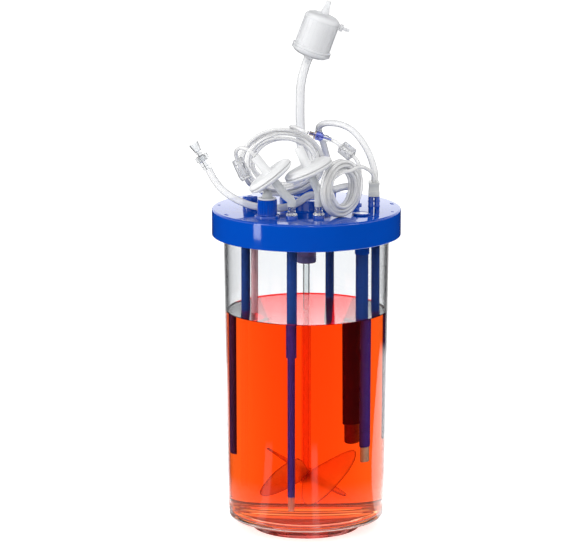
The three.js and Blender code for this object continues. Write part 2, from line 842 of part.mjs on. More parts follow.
// The lower cup: its barb, its dished wall, its lip, and the ledge that the cartridge stands on.
function capsuleBase() {
  const lipBottom = capsuleJoint - capsuleLipHeight;
  const face = capsuleJoint - fit / 2;
  const cupBottom = capsuleBottom + capsuleWall;
  const rise = lipBottom - cupBottom;
  const shell = ring([
    [capsuleBore, capsuleBottom - capsuleBarb],
    [exhaustHoseBore - barbSlack, capsuleBottom - capsuleBarb],
    [exhaustHoseBore - barbSlack, capsuleBottom],
    [capsuleNeck, capsuleBottom],
    [capsuleNeck, cupBottom],
    ...arc([capsuleCrown, lipBottom], [capsuleRadius - capsuleCrown, rise], -90, 0, 3),
    [capsuleFlange, lipBottom],
    [capsuleFlange, face],
    [capsuleInner, face],
    ...arc([capsuleCrown, lipBottom], [capsuleInner - capsuleCrown, rise - capsuleWall], 0, -90, 3),
    [capsuleBore, cupBottom + capsuleWall],
  ], middleSides);
  const ledge = pipe(ledgeRadius, ledgeRadius - ledgeWall, cupBottom + overcut, cartridgeSeat, smallSides);
  return joined(shell, ledge);
}

function capsuleHousing() {
  const face = capsuleJoint + fit / 2;
  const shoulder = capsuleTop - capsuleDome;
  const neckTop = capsuleTop + outletNeckHeight;
  const barbTop = neckTop + outletBarbHeight;
  const shell = ring([
    [capsuleInner, face],
    [capsuleFlange, face],
    [capsuleFlange, capsuleJoint + capsuleLipHeight],
    [capsuleRadius, capsuleJoint + capsuleLipHeight],
    ...arc([capsuleCrown, shoulder], [capsuleRadius - capsuleCrown, capsuleDome], 0, 90, 3),
    [outletNeck, capsuleTop],
    [outletNeck, neckTop],
    [outletBarb, neckTop],
    [outletBarb, barbTop],
    [outletTip, barbTop + outletTipHeight],
    [capsuleBore, barbTop + outletTipHeight],
    [capsuleBore, capsuleTop - capsuleWall],
    ...arc([capsuleCrown, shoulder], [capsuleInner - capsuleCrown, capsuleDome - capsuleWall], 90, 0, 3),
  ], middleSides);
  const across = (radius, from, to) =>
    rod(radius, from, to, tubeSides).rotateY(Math.PI / 2).translate(0, 0, ventHeight);
  const seat = capsuleRadius + ventReach;
  const inside = rod(capsuleInner, ventHeight - 2 * ventRadius, ventHeight + 2 * ventRadius, middleSides);
  const vent = cut(across(ventRadius, capsuleInner - ventRadius, seat), inside);
  return cut(joined(shell, vent), across(ventBore, capsuleInner - ventRadius, seat + overcut));
}

// Pleated cartridge: a star section with an open core.
function cartridge() {
  const radius = capsuleInner - cartridgeGap;
  const star = radialOutline(cartridgePleats * 2, (i) => (i % 2 === 0 ? radius : radius - pleatDepth));
  star.holes.push(new THREE.Path().absarc(0, 0, cartridgeCore, 0, 2 * Math.PI, true));
  const length = capsuleTop - capsuleDome - cartridgeSeat - fit - cartridgeRoom;
  return extruded(star, length, 5);
}

// A coil of thin tubing: its outer shape only.
const leftCoil = { centre: [-24.5, 2.2], reach: 43.5, rise: 34.5, bore: 0.4, width: 12, turn: 0 };
const rightCoil = { centre: [34, -52], reach: 28.5, rise: 28.5, bore: 0.45, width: 10, turn: 49 };

function coil(name, shape, seat) {
  const inner = shape.reach * shape.bore;
  const half = shape.width / 2;
  const low = inner + (shape.reach - inner) / 4;
  const high = shape.reach - (shape.reach - inner) / 4;
  const profile = [
    [inner, -half / 2],
    [low, -half],
    [high, -half],
    [shape.reach, -half / 2],
    [shape.reach, half / 2],
    [high, half],
    [low, half],
    [inner, half / 2],
  ];
  const geometry = ring(profile, middleSides);
  geometry.scale(1, shape.rise / shape.reach, 1);
  geometry.rotateX(Math.PI / 2);
  const mesh = piece(name, geometry, silicone);
  mesh.position.set(...shape.centre, seat + fit + shape.rise);
  mesh.rotation.z = THREE.MathUtils.degToRad(shape.turn);
}

// Routes of the loose tubing: points along each middle line.
const leftLead = [
  [-50.6, -60, 390.3],
  [-54, -59.6, 394.3],
  [-59.5, -57, 397],
  [-65, -51.5, 397],
  [-68.8, -44.5, 392.8],
  [-69.4, -37.5, 387],
  [-67.9, -32.3, 381.5],
  [-64, -27, 371.5],
  [-60.1, -21.7, 361.5],
  [-57.8, -13.8, 355.6],
  [-56.5, -4.3, 352.7],
];
const leftTail = [
  [-15, 2.2, 408.3],
  [-12.5, -4, 410.4],
  [-9, -10, 409.9],
  [-4.4, -14.6, 408.3],
  [1.6, -16.9, 406.4],
];
const rightLead = [
  [25.5, -20, 399.5],
  [29.2, -22, 397.7],
  [34.4, -24.9, 394],
  [40, -28, 390],
  [45.6, -31.1, 386],
  [48.6, -34.4, 385.2],
  [47.4, -39.6, 387.2],
  [41.6, -43.8, 388],
];
const rightTail = [
  [36.8, -61.2, 370.2],
  [42.5, -59.5, 375.5],
  [51, -51, 378],
  [60, -39.5, 374],
  [66.3, -31, 366],
  [67, -29.5, 359.2],
];
const arcRoute = [
  [24, 65, 342.5],
  [24, 65, 346],
  [23.2, 63.6, 352],
  [21.6, 58, 365],
  [18.6, 49.5, 379],
  [15, 38.5, 392.5],
  [12.2, 27, 402.5],
  [14.6, 17, 408.8],
  [23.2, 7.5, 412.2],
  [36.4, -1, 411.3],
  [47.1, -9, 406.1],
  [55.1, -14.5, 397.2],
  [61.6, -18.5, 386.4],
  [66, -20.4, 374.5],
  [67.7, -20.7, 367],
  [67.5, -20.5, 359.2],
];
const feedRoute = [
  [50, 14, 337.4],
  [50, 13.7, 341.5],
  [49.2, 10, 346],
  [46, 4, 348.5],
  [38, -5, 350],
  [26, -16, 348.5],
  [14, -24, 345.5],
  [2, -30, 345.3],
  [-7, -34, 340],
  [-17, -35, 335.6],
  [-31, -35, 333.6],
  [-46, -35, 334.8],
  [-60, -31, 337.5],
  [-73, -26, 343],
  [-84, -21, 350.5],
  [-92, -17, 360],
  [-97.2, -15, 369.5],
];

function tubing() {
  coil("left_coil", leftCoil, hubTop);
  coil("right_coil", rightCoil, lidTop);
  const runs = [
    ["left_coil_lead", leftLead, thinTubeRadius, 16],
    ["left_coil_tail", leftTail, thinTubeRadius, 8],
    ["right_coil_lead", rightLead, thinTubeRadius, 10],
    ["right_coil_tail", rightTail, thinTubeRadius, 10],
    ["arc_hose", arcRoute, arcHoseRadius, 16],
    ["feed_hose", feedRoute, feedHoseRadius, 24],
  ];
  for (const [name, route, radius, steps] of runs) {
    piece(name, hose(route, radius, steps), silicone);
  }
}

// A small fitting turned about its own axis, placed at a point and aimed along a direction.
function aimed(name, geometry, material, place, direction) {
  const mesh = piece(name, geometry, material);
  const axis = new THREE.Vector3(...direction).normalize();
  mesh.position.set(...place);
  mesh.quaternion.setFromUnitVectors(new THREE.Vector3(0, 0, 1), axis);
}

// The check valve: a barb, a wide chamber, a narrower cap and the far barb.
const valve = { place: [2.8, -17.2, 406.2], direction: [21.8, -2.7, -6.4], bore: 0.8, barb: 2.2, near: 5, far: 3 };
const valveChamber = { radius: 4.6, length: 8.2, draught: 0.2, shoulder: 0.5 };
const valveCap = { radius: 3.2, length: 6.6 };

function checkValve() {
  const chamberTop = valve.near + valveChamber.length;
  const capTop = chamberTop + valveCap.length;
  const end = capTop + valve.far;
  const body = ring([
    [valve.bore, 0],
    [valve.barb, 0],
    [valve.barb, valve.near],
    [valveChamber.radius - valveChamber.draught, valve.near + valveChamber.shoulder],
    [valveChamber.radius, chamberTop],
    [valveCap.radius, chamberTop],
    [valveCap.radius, capTop],
    [valve.barb, capTop],
    [valve.barb, end],
    [valve.bore, end],
  ], tubeSides);
  aimed("check_valve", body, clear, valve.place, valve.direction);
}

// A one-piece pinch clamp: a long moulded loop with two jaws, threaded on its tube.
const clampHeight = 11;
const clampDepth = 8;
const clampStrip = 1.6;
const clampJaw = 2.2;
const leftClamp = { place: [-64, -27, 371.5], direction: [0.325, 0.44, -0.837], length: 22 };
const rightClamp = { place: [40, -28, 390], direction: [5.6, -3.1, -4], length: 15 };

function pinchClamp(name, { place, direction, length }) {
  const end = length / 2 - clampStrip;
  const side = clampHeight / 2 - clampStrip;
  const tip = thinTubeRadius + fit;
  const upper = [[-end, side], [-clampJaw, side], [0, tip], [clampJaw, side], [end, side]];
  const lower = upper.map(([x, y]) => [-x, -y]);
  const outline = new THREE.Shape();
  outline.moveTo(-length / 2, -clampHeight / 2);
  outline.lineTo(length / 2, -clampHeight / 2);
  outline.lineTo(length / 2, clampHeight / 2);
  outline.lineTo(-length / 2, clampHeight / 2);
  outline.holes.push(new THREE.Path([...upper, ...lower].map(([x, y]) => new THREE.Vector2(x, y))));
  const loop = extruded(outline, clampDepth).translate(0, 0, -clampDepth / 2);
  const hollow = rod(tip + fit, -length, length).rotateY(Math.PI / 2);
  aimed(name, cut(loop, hollow).rotateY(-Math.PI / 2), frosted, place, direction);
}

// The feed line's luer: a hose socket, a spinning collar on its neck, and a trumpet-shaped cone.
const luer = { place: [-97.6, -15, 370.1], direction: [-0.5, 0, 0.866], bore: 1.4, neck: 2.6 };
const luerSocket = { bottom: 4.6, top: 5.4, length: 9, shoulder: 0.4 };
const luerNeckLength = 7.6;
const luerCollar = { radius: 6.8, length: 4.8, room: 0.4 };
const luerCone = { foot: 3.2, waist: 3.4, waistHeight: 3, mouth: 5.2, length: 11.7, wall: 1 };

function feedLuer() {
  const shoulder = luerSocket.length + luerSocket.shoulder;
  const neckTop = shoulder + luerNeckLength;
  const body = ring([
    [luer.bore, 0],
    [luerSocket.bottom, 0],
    [luerSocket.top, luerSocket.length],
    [luer.neck, shoulder],
    [luer.neck, neckTop],
    [luer.bore, neckTop],
  ], tubeSides);
  aimed("feed_luer_body", body, clear, luer.place, luer.direction);
  const collarBottom = shoulder + luerCollar.room;
  const collar = pipe(luerCollar.radius, luer.neck + fit, collarBottom, collarBottom + luerCollar.length);
  aimed("feed_luer_collar", collar, clear, luer.place, luer.direction);
  const seat = neckTop + fit;
  const trumpet = ring([
    [luer.bore, seat],
    [luerCone.foot, seat],
    [luerCone.waist, seat + luerCone.waistHeight],
    [luerCone.mouth, seat + luerCone.length],
    [luerCone.mouth - luerCone.wall, seat + luerCone.length],
    [luerCone.waist - luerCone.wall, seat + luerCone.waistHeight],
    [luer.bore, seat + luerCone.waistHeight],
  ], tubeSides);
  aimed("feed_luer_cone", trumpet, clear, luer.place, luer.direction);
}

function gasConnector() {
  const { width, depth, height } = gasBlock;
  const seat = lidTop + gasStubHeight + fit;
  const block = new THREE.BoxGeometry(width, depth, height).translate(0, 0, seat + height / 2);
  piece("gas_connector", at(gasPort, block), grey);
}

vessel();
headPlate();
tubes();
stirrer();
medium();
sensorFittings();
portClosures();
exhaustFittings();
capsule();
for (const [side, disc] of [["left", leftDisc], ["right", rightDisc]]) {
  ventFilter(side, disc);
  filterConnector(side, disc.port);
  legHose(side, disc);
}
tubing();
checkValve();
pinchClamp("left_pinch_clamp", leftClamp);
pinchClamp("right_pinch_clamp", rightClamp);
feedLuer();
gasConnector();

export default group;
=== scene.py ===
import math

import bmesh
import bpy
from mathutils import Matrix, Vector


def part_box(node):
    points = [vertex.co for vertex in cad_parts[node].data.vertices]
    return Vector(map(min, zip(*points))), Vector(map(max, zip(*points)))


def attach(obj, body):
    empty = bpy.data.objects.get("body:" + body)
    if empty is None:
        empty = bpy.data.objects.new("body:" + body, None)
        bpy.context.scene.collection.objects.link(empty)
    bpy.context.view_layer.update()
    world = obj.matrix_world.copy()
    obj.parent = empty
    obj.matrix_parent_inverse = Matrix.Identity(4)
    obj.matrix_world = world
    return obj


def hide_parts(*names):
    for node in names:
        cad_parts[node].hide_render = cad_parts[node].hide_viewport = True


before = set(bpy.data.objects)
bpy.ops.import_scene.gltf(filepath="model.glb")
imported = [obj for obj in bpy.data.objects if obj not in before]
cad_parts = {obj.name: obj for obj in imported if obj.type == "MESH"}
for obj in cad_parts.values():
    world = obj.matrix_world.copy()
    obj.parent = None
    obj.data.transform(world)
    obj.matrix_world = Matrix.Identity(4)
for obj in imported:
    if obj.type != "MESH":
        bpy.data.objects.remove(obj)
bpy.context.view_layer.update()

mm = 0.001
fit = 0.3  # the gap, in millimetres, that touching solids keep
up = Vector((0, 0, 1))
print("frame loaded:", len(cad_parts), "nodes")


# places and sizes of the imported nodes, in millimetres

def point(x, y, z):
    return Vector((x, y, z)) * mm


def bottomOf(node):
    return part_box(node)[0].z / mm


def topOf(node):
    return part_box(node)[1].z / mm


def endsOf(node):
    return bottomOf(node), topOf(node)


def radiusOf(node):
    low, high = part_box(node)
    return max(high.x - low.x, high.y - low.y) / 2 / mm


def placeOf(node):
    low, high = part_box(node)
    middle = (low + high) / 2 / mm
    return (middle.x, middle.y)


# camera: a long lens, a little above the part and looking down at it
cameraView = {
    "distance": 3.4,
    "height": 0.9677,
    "pitchDown": 11.717,
    "turnLeft": 0.217,
    "lens": 212.2,
    "sensor": 36.0,
    "near": 0.1,
    "far": 60,
}


def placedObject(name, data):
    holder = bpy.data.objects.new(name, data)
    bpy.context.scene.collection.objects.link(holder)
    return holder


def makeCamera():
    v = cameraView
    data = bpy.data.cameras.new("studioCamera")
    data.lens = v["lens"]
    data.sensor_width = v["sensor"]
    data.clip_start = v["near"]
    data.clip_end = v["far"]
    camera = placedObject("studioCamera", data)
    camera.location = (0, -v["distance"], v["height"])
    camera.rotation_euler = (math.radians(90 - v["pitchDown"]), 0, math.radians(v["turnLeft"]))
    bpy.context.scene.camera = camera


makeCamera()
print("camera set")


# shader nodes

def feed(tree, node, inputs):  # a number or a colour is written on its socket, and an output is linked to it
    for label, value in inputs.items():
        socket = node.inputs[label]
        if isinstance(value, (int, float)):
            socket.default_value = value
        elif isinstance(value, tuple):
            socket.default_value = (*value, 1)
        else:
            tree.links.new(value, socket)


def newNode(tree, kind, inputs={}, **settings):
    node = tree.nodes.new("ShaderNode" + kind)
    for label, value in settings.items():
        setattr(node, label, value)
    feed(tree, node, inputs)
    return node


def objectPlace(tree):
    return newNode(tree, "TexCoord").outputs["Object"]


def noise(tree, place, scale, detail, roughness=0.5):
    return newNode(tree, "TexNoise", {"Vector": place, "Scale": scale, "Detail": detail,
                                      "Roughness": roughness}).outputs["Fac"]


def ranged(tree, source, low, high, toLow=0.0, toHigh=1.0):
    return newNode(tree, "MapRange", {"Value": source, "From Min": low, "From Max": high, "To Min": toLow,
                                      "To Max": toHigh}).outputs["Result"]


def combined(tree, operation, first, second):
    return newNode(tree, "Math", {0: first, 1: second}, operation=operation).outputs["Value"]


def product(tree, first, *others):
    for other in others:
        first = combined(tree, "MULTIPLY", first, other)
    return first


def mixed(tree, mask, first, second, kind="RGBA"):
    return newNode(tree, "Mix", {"Factor": mask, "A": first, "B": second}, data_type=kind).outputs["Result"]


# node groups, built once

def newGroup(name, inputs, outputs):
    tree = bpy.data.node_groups.new(name, "ShaderNodeTree")
    for label, value in inputs.items():
        socket = tree.interface.new_socket(name=label, in_out="INPUT", socket_type="NodeSocketFloat")
        socket.default_value = value
    for label in outputs:
        tree.interface.new_socket(name=label, in_out="OUTPUT", socket_type="NodeSocketFloat")
    return tree, tree.nodes.new("NodeGroupInput").outputs, tree.nodes.new("NodeGroupOutput")


def buildSkinGroup():  # moulded grain as a height, and the smears of handling as a mask
    tree, given, outlet = newGroup("mouldedSkin", {"Grain": 900.0, "Smears": 22.0}, ["Height", "Smear"])
    place = objectPlace(tree)
    smears = noise(tree, place, given["Smears"], 6, 0.65)
    feed(tree, outlet, {"Height": noise(tree, place, given["Grain"], 4, 0.55),
                        "Smear": ranged(tree, smears, 0.38, 0.68)})
    return tree


def buildDrawnGroup():  # the fine lines that extruding leaves along an upright tube
    tree, given, outlet = newGroup("drawnLines", {"Across": 900.0, "Along": 12.0}, ["Height"])
    sizes = newNode(tree, "CombineXYZ", {"X": given["Across"], "Y": given["Across"], "Z": given["Along"]})
    stretch = newNode(tree, "VectorMath", {0: objectPlace(tree), 1: sizes.outputs["Vector"]}, operation="MULTIPLY")
    feed(tree, outlet, {"Height": noise(tree, stretch.outputs["Vector"], 1.0, 3, 0.6)})
    return tree


skinGroup = buildSkinGroup()
drawnGroup = buildDrawnGroup()


# materials: each has a colour, a deeper one where it is smeared, and a roughness
finishes = {}
softSkin = {"grain": 600, "smears": 60, "depth": 0.00003, "strength": 0.12}
# how far a surface has turned from the eye where a change towards its edge starts and ends; under rim and glass the
# change is a painted shade that darkens the colour at the edge, under milk and thin it is the alpha
turning = {"rim": (0.25, 0.75), "milk": (0.05, 0.8), "glass": (0.45, 0.95), "thin": (0.7, 0.92)}


def newMaterial(name):
    material = bpy.data.materials.new(name)
    finishes[name] = material
    material.use_nodes = True
    return material.node_tree, material.node_tree.nodes["Principled BSDF"]


def groupNode(tree, group, inputs={}):
    node = newNode(tree, "Group", node_tree=group)
    feed(tree, node, inputs)
    return node.outputs


def towardsEdge(tree, change, centre, edge):  # one value where a surface faces the eye, another at its edge
    facing = newNode(tree, "LayerWeight", {"Blend": 0.5}).outputs["Facing"]
    return ranged(tree, facing, *turning[change], centre, edge)


def lampsThrough(tree, shader, tint):  # lamps reach what stands behind a clear wall
    shadow = newNode(tree, "LightPath").outputs["Is Shadow Ray"]
    clear = newNode(tree, "BsdfTransparent", {"Color": tint}).outputs["BSDF"]
    mix = newNode(tree, "MixShader", {"Fac": shadow, 1: shader.outputs["BSDF"], 2: clear})
    feed(tree, tree.nodes["Material Output"], {"Surface": mix.outputs["Shader"]})


def plastic(name, colour, deep, roughness, grain=700, smears=25, depth=0.00002, strength=0.15, specular=0.5,
            worn=(0.75, 1.5), rim=None, drawn=False, metal=0.0):
    tree, shader = newMaterial(name)
    own = groupNode(tree, skinGroup, {"Grain": grain, "Smears": smears})
    height = groupNode(tree, drawnGroup)["Height"] if drawn else own["Height"]
    base = mixed(tree, own["Smear"], colour, deep)
    # painted shade: the colour turns to the darker rim colour where the surface turns from the eye, for the dark
    # outline that clear tubing shows
    if rim:
        base = mixed(tree, towardsEdge(tree, "rim", 0, 1), base, rim)
    bump = newNode(tree, "Bump", {"Strength": strength, "Distance": depth, "Height": height})
    feed(tree, shader, {
        "Base Color": base,
        "Roughness": ranged(tree, own["Smear"], 0, 1, roughness * worn[0], roughness * worn[1]),
        "Metallic": metal,
        "Specular IOR Level": specular,
        "Normal": bump.outputs["Normal"],
    })
    return tree, shader


def milky(name, colour, deep, roughness, clearness, edge, rim=None):
    tree, shader = plastic(name, colour, deep, roughness, worn=(1, 1.6), rim=rim, **softSkin)
    feed(tree, shader, {"Alpha": towardsEdge(tree, "milk", clearness, edge)})


def frostedPlastic(name, colour, deep, roughness, clearness, rim):
    tree, shader = plastic(name, colour, deep, roughness, worn=(1, 1.5), rim=rim, **softSkin)
    feed(tree, shader, {"Transmission Weight": clearness, "IOR": 1.2})
    lampsThrough(tree, shader, (0.92, 0.92, 0.92))


def clearPlastic(name, colour, roughness, ior, edge=None, thinEdge=None):
    tree, shader = newMaterial(name)
    smear = groupNode(tree, skinGroup, {"Grain": 500, "Smears": 18})["Smear"]
    # painted shade: with an edge colour, the colour darkens where the surface turns from the eye, for the dark
    # outline of clear plastic
    feed(tree, shader, {
        "Base Color": mixed(tree, towardsEdge(tree, "glass", 0, 1), colour, edge) if edge else colour,
        "Transmission Weight": 1.0,
        "IOR": ior,
        "Roughness": ranged(tree, smear, 0, 1, roughness, roughness * 2.5) if roughness else 0.0,
    })
    if thinEdge:
        feed(tree, shader, {"Alpha": towardsEdge(tree, "thin", 1, thinEdge)})
    lampsThrough(tree, shader, colour)


def liquid(name, ior):
    tree, shader = newMaterial(name)
    ripple = noise(tree, objectPlace(tree), 30, 2)
    feed(tree, shader, {"Base Color": (1, 1, 1), "Transmission Weight": 1.0, "IOR": ior,
                        "Roughness": ranged(tree, ripple, 0.3, 0.7, 0.0, 0.015)})
    body = newNode(tree, "VolumeAbsorption", {"Color": (1.0, 0.54, 0.02), "Density": 42.0})
    feed(tree, tree.nodes["Material Output"], {"Volume": body.outputs["Volume"]})
    lampsThrough(tree, shader, (1, 1, 1))


def sintered(name, colour, deep):
    plastic(name, colour, deep, 0.42, grain=2600, smears=300, depth=0.0002, strength=0.5, metal=0.3)


clearPlastic("vesselClear", (0.915, 0.925, 0.935), 0.004, 1.5, thinEdge=0.1)
clearPlastic("vesselWet", (1, 1, 1), 0.0, 1.125)
# the clear foot is painted pink: painted glow of the medium's red light in the clear base
clearPlastic("footRedGlow", (0.95, 0.42, 0.4), 0.004, 1.5)
liquid("cultureMedium", 1.333)
liquid("mediumSide", 1.0)
plastic("lidBlue", (0.0, 0.066, 0.46), (0.0, 0.06, 0.43), 0.07, grain=400, smears=12, depth=0.000012,
        strength=0.08, specular=0.38)
plastic("tubeBlue", (0.014, 0.055, 0.26), (0.012, 0.047, 0.22), 0.3, depth=0.00004, specular=0.12, drawn=True)
# the copy used below the medium's surface is redder: painted red light of the medium on the blue tubes
plastic("tubeWet", (0.06, 0.024, 0.3), (0.05, 0.022, 0.26), 0.3, depth=0.00004, specular=0.1, drawn=True)
plastic("housingBlue", (0.13, 0.12, 0.29), (0.11, 0.1, 0.25), 0.35, specular=0.15)
# clearPart and shaftClear carry a dark edge colour: painted shade along their outlines
clearPlastic("clearPart", (0.86, 0.87, 0.88), 0.08, 1.4, edge=(0.2, 0.21, 0.23))
clearPlastic("shaftClear", (0.88, 0.9, 0.9), 0.03, 1.3, edge=(0.4, 0.43, 0.44))
clearPlastic("valveAmber", (0.62, 0.52, 0.44), 0.05, 1.4)
clearPlastic("valveViolet", (0.22, 0.26, 0.7), 0.05, 1.4)
milky("leafFace", (1.0, 0.86, 0.86), (0.97, 0.78, 0.78), 0.2, 0.26, 0.45)
# the blades' narrow edge faces are painted dark red: painted shade for the dark outline of the translucent blades
milky("leafEdgeShade", (0.35, 0.04, 0.07), (0.28, 0.03, 0.06), 0.3, 0.4, 0.75)
# the hub, shaft and sample tube below the medium are painted red: painted red light of the medium
milky("hubRedLit", (0.85, 0.3, 0.36), (0.78, 0.24, 0.3), 0.3, 0.1, 0.3)
milky("shaftRedLit", (0.9, 0.0, 0.0), (0.85, 0.0, 0.0), 0.25, 0.2, 0.35)
milky("sampleRedLit", (0.9, 0.15, 0.08), (0.85, 0.12, 0.06), 0.25, 0.02, 0.07)
milky("sampleClear", (0.8, 0.4, 0.42), (0.62, 0.36, 0.4), 0.15, 0.55, 0.9)
milky("roseTip", (0.75, 0.3, 0.28), (0.66, 0.25, 0.24), 0.25, 0.5, 0.8)
# silicone and thinSilicone carry a grey rim colour: painted shade along their outlines
milky("silicone", (0.93, 0.935, 0.94), (0.88, 0.885, 0.895), 0.2, 0.5, 0.97, rim=(0.5, 0.505, 0.515))
milky("thinSilicone", (0.97, 0.97, 0.965), (0.93, 0.93, 0.93), 0.15, 0.45, 0.97, rim=(0.5, 0.5, 0.51))
milky("legSilicone", (0.8, 0.815, 0.8), (0.75, 0.765, 0.75), 0.25, 0.6, 0.97)
# frosted and clampClear carry a grey rim colour: painted shade along their outlines
frostedPlastic("frosted", (0.92, 0.925, 0.935), (0.88, 0.885, 0.895), 0.3, 0.62, (0.65, 0.655, 0.67))
frostedPlastic("clampClear", (0.88, 0.885, 0.895), (0.8, 0.805, 0.82), 0.25, 0.55, (0.4, 0.405, 0.42))
plastic("filterWhite", (0.8, 0.805, 0.81), (0.75, 0.755, 0.765), 0.4, grain=900)
plastic("pleatWhite", (0.9, 0.9, 0.9), (0.86, 0.86, 0.87), 0.6, grain=900)
# the cap's top face is painted pale lavender: a painted reflection of white light in the glossy blue cap
plastic("capPaintedSheen", (0.62, 0.63, 0.72), (0.56, 0.57, 0.68), 0.12, grain=500)
plastic("greyPlastic", (0.6, 0.61, 0.595), (0.53, 0.54, 0.53), 0.4, grain=1200)
sintered("darkSteel", (0.2, 0.3, 0.36), (0.14, 0.22, 0.27))
sintered("porousSteel", (0.58, 0.42, 0.38), (0.46, 0.32, 0.28))
print("materials made:", len(finishes))


# mesh helpers

def spin(bm, profile, steps=64, place=(0, 0)):  # a profile that starts off the axis is closed on itself
    if profile[0][0]:
        profile = [*profile, profile[0]]
    verts = [bm.verts.new((radius * mm, 0, height * mm)) for radius, height in profile]
    edges = [bm.edges.new(pair) for pair in zip(verts, verts[1:])]
    bmesh.ops.spin(bm, geom=verts + edges, axis=up, cent=(0, 0, 0), dvec=(0, 0, 0),
                   angle=2 * math.pi, steps=steps, use_merge=True, use_duplicate=False)
    fresh = [v for v in bm.verts if not v.tag]
    bmesh.ops.translate(bm, verts=fresh, vec=(place[0] * mm, place[1] * mm, 0))
    tagAll(bm)
    return fresh


def tagAll(bm):  # what is made next is told apart from what is there
    for vert in bm.verts:
        vert.tag = True


def arcPoints(centre, radii, start, end, count):
    points = []
    for i in range(count + 1):
        angle = math.radians(start + (end - start) * i / count)
        points.append((centre[0] + radii[0] * math.cos(angle), centre[1] + radii[1] * math.sin(angle)))
    return points


def raisedFrom(bm, made, shift):  # moves what an extrusion has made
    verts = [g for g in made["geom"] if isinstance(g, bmesh.types.BMVert)]
    bmesh.ops.translate(bm, verts=verts, vec=shift)
    return verts


def extrudedFaces(bm, faces, shift):
    return raisedFrom(bm, bmesh.ops.extrude_face_region(bm, geom=faces), shift)


def edgesAmong(bm, verts):
    return [e for e in bm.edges if all(v in verts for v in e.verts)]


def wallRing(bm, outer, innerRadius, low, high):  # a hollow wall from one loop of points to a round bore
    inner = bmesh.ops.create_circle(bm, cap_ends=False, segments=len(outer), radius=innerRadius * mm)["verts"]
    tops = []
    for loop in (outer, inner):
        for vert in loop:
            vert.co.z = low * mm
        made = bmesh.ops.extrude_edge_only(bm, edges=edgesAmong(bm, loop))
        tops += raisedFrom(bm, made, (0, 0, (high - low) * mm))
    for loops in (outer + inner, tops):
        bmesh.ops.bridge_loops(bm, edges=edgesAmong(bm, loops))


def bevelled(bm, edges, width, segments):
    bmesh.ops.bevel(bm, geom=edges, offset=width * mm, offset_type="OFFSET", segments=segments, profile=0.5,
                    affect="EDGES", material=-1, clamp_overlap=True)


def cleaned(bm, edgeWidth=0.0, segments=2, angle=60):
    bmesh.ops.remove_doubles(bm, verts=bm.verts, dist=1e-7)
    bmesh.ops.dissolve_degenerate(bm, edges=bm.edges, dist=1e-7)
    bmesh.ops.recalc_face_normals(bm, faces=bm.faces)
    if edgeWidth:
        sharp = [e for e in bm.edges if len(e.link_faces) == 2 and e.calc_face_angle(0) > math.radians(angle)]
        bevelled(bm, sharp, edgeWidth, segments)
        bmesh.ops.recalc_face_normals(bm, faces=bm.faces)


# the second finish, below the medium's surface, is a redder copy that paints the medium's red light onto the part
def wetFaces(bm, level):  # the second finish stands below the medium's surface
    for face in bm.faces:
        face.material_index = int(face.calc_center_median().z < level * mm)


def madePiece(name, bm, finish, node, body="vessel_assembly", smooth=40):
    mesh = bpy.data.meshes.new(name)
    for face in bm.faces:
        face.smooth = True
    for edge in bm.edges:
        edge.smooth = len(edge.link_faces) != 2 or edge.calc_face_angle(0) < math.radians(smooth)
    bm.to_mesh(mesh)
    bm.free()
    return placedPiece(name, mesh, finish, node, body)


def placedPiece(name, mesh, finish, node, body="vessel_assembly"):
    for key in [finish] if isinstance(finish, str) else finish:
        mesh.materials.append(finishes[key])
    piece = placedObject(name, mesh)
    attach(piece, body)
    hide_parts(node)
    return piece


def spunPiece(name, profiles, finish, node, steps, place=None, matrix=None, wetBelow=None,
              body="vessel_assembly"):
    bm = bmesh.new()
    if place is None:
        place = (0, 0) if matrix else placeOf(node)
    for profile in profiles:
        spin(bm, profile, steps, place)
    cleaned(bm)
    if wetBelow:
        wetFaces(bm, wetBelow)
    if matrix:
        bmesh.ops.transform(bm, matrix=matrix, verts=bm.verts)
    return madePiece(name, bm, finish, node, body)


def curveFrom(name, points, radius, resolution, bevel):
    curve = bpy.data.curves.new(name, "CURVE")
    curve.dimensions = "3D"
    curve.resolution_u = resolution
    curve.bevel_depth = radius * mm
    curve.bevel_resolution = bevel
    curve.use_fill_caps = True
    spline = curve.splines.new("BEZIER")
    spline.bezier_points.add(len(points) - 1)
    for handle, place in zip(spline.bezier_points, points):
        handle.co = point(*place)
        handle.handle_left_type = "AUTO"
        handle.handle_right_type = "AUTO"
    return placedObject(name, curve)


def routeLength(points):
    return sum((Vector(b) - Vector(a)).length for a, b in zip(points, points[1:])) * mm


def cordPiece(name, points, radius, finish, nodes):
    cord = curveFrom(name, points, radius, 6, 6)
    cord.data.materials.append(finishes[finish])
    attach(cord, "vessel_assembly")
    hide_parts(*nodes)
    return cord


def hosePiece(name, points, radius, finish, node):
    holder = curveFrom(name, points, radius, 10, 8)
    mesh = bpy.data.meshes.new_from_object(holder.evaluated_get(bpy.context.evaluated_depsgraph_get()))
    bpy.data.objects.remove(holder)
    for face in mesh.polygons:
        face.use_smooth = True
    mesh.materials.clear()
    return placedPiece(name, mesh, finish, node)


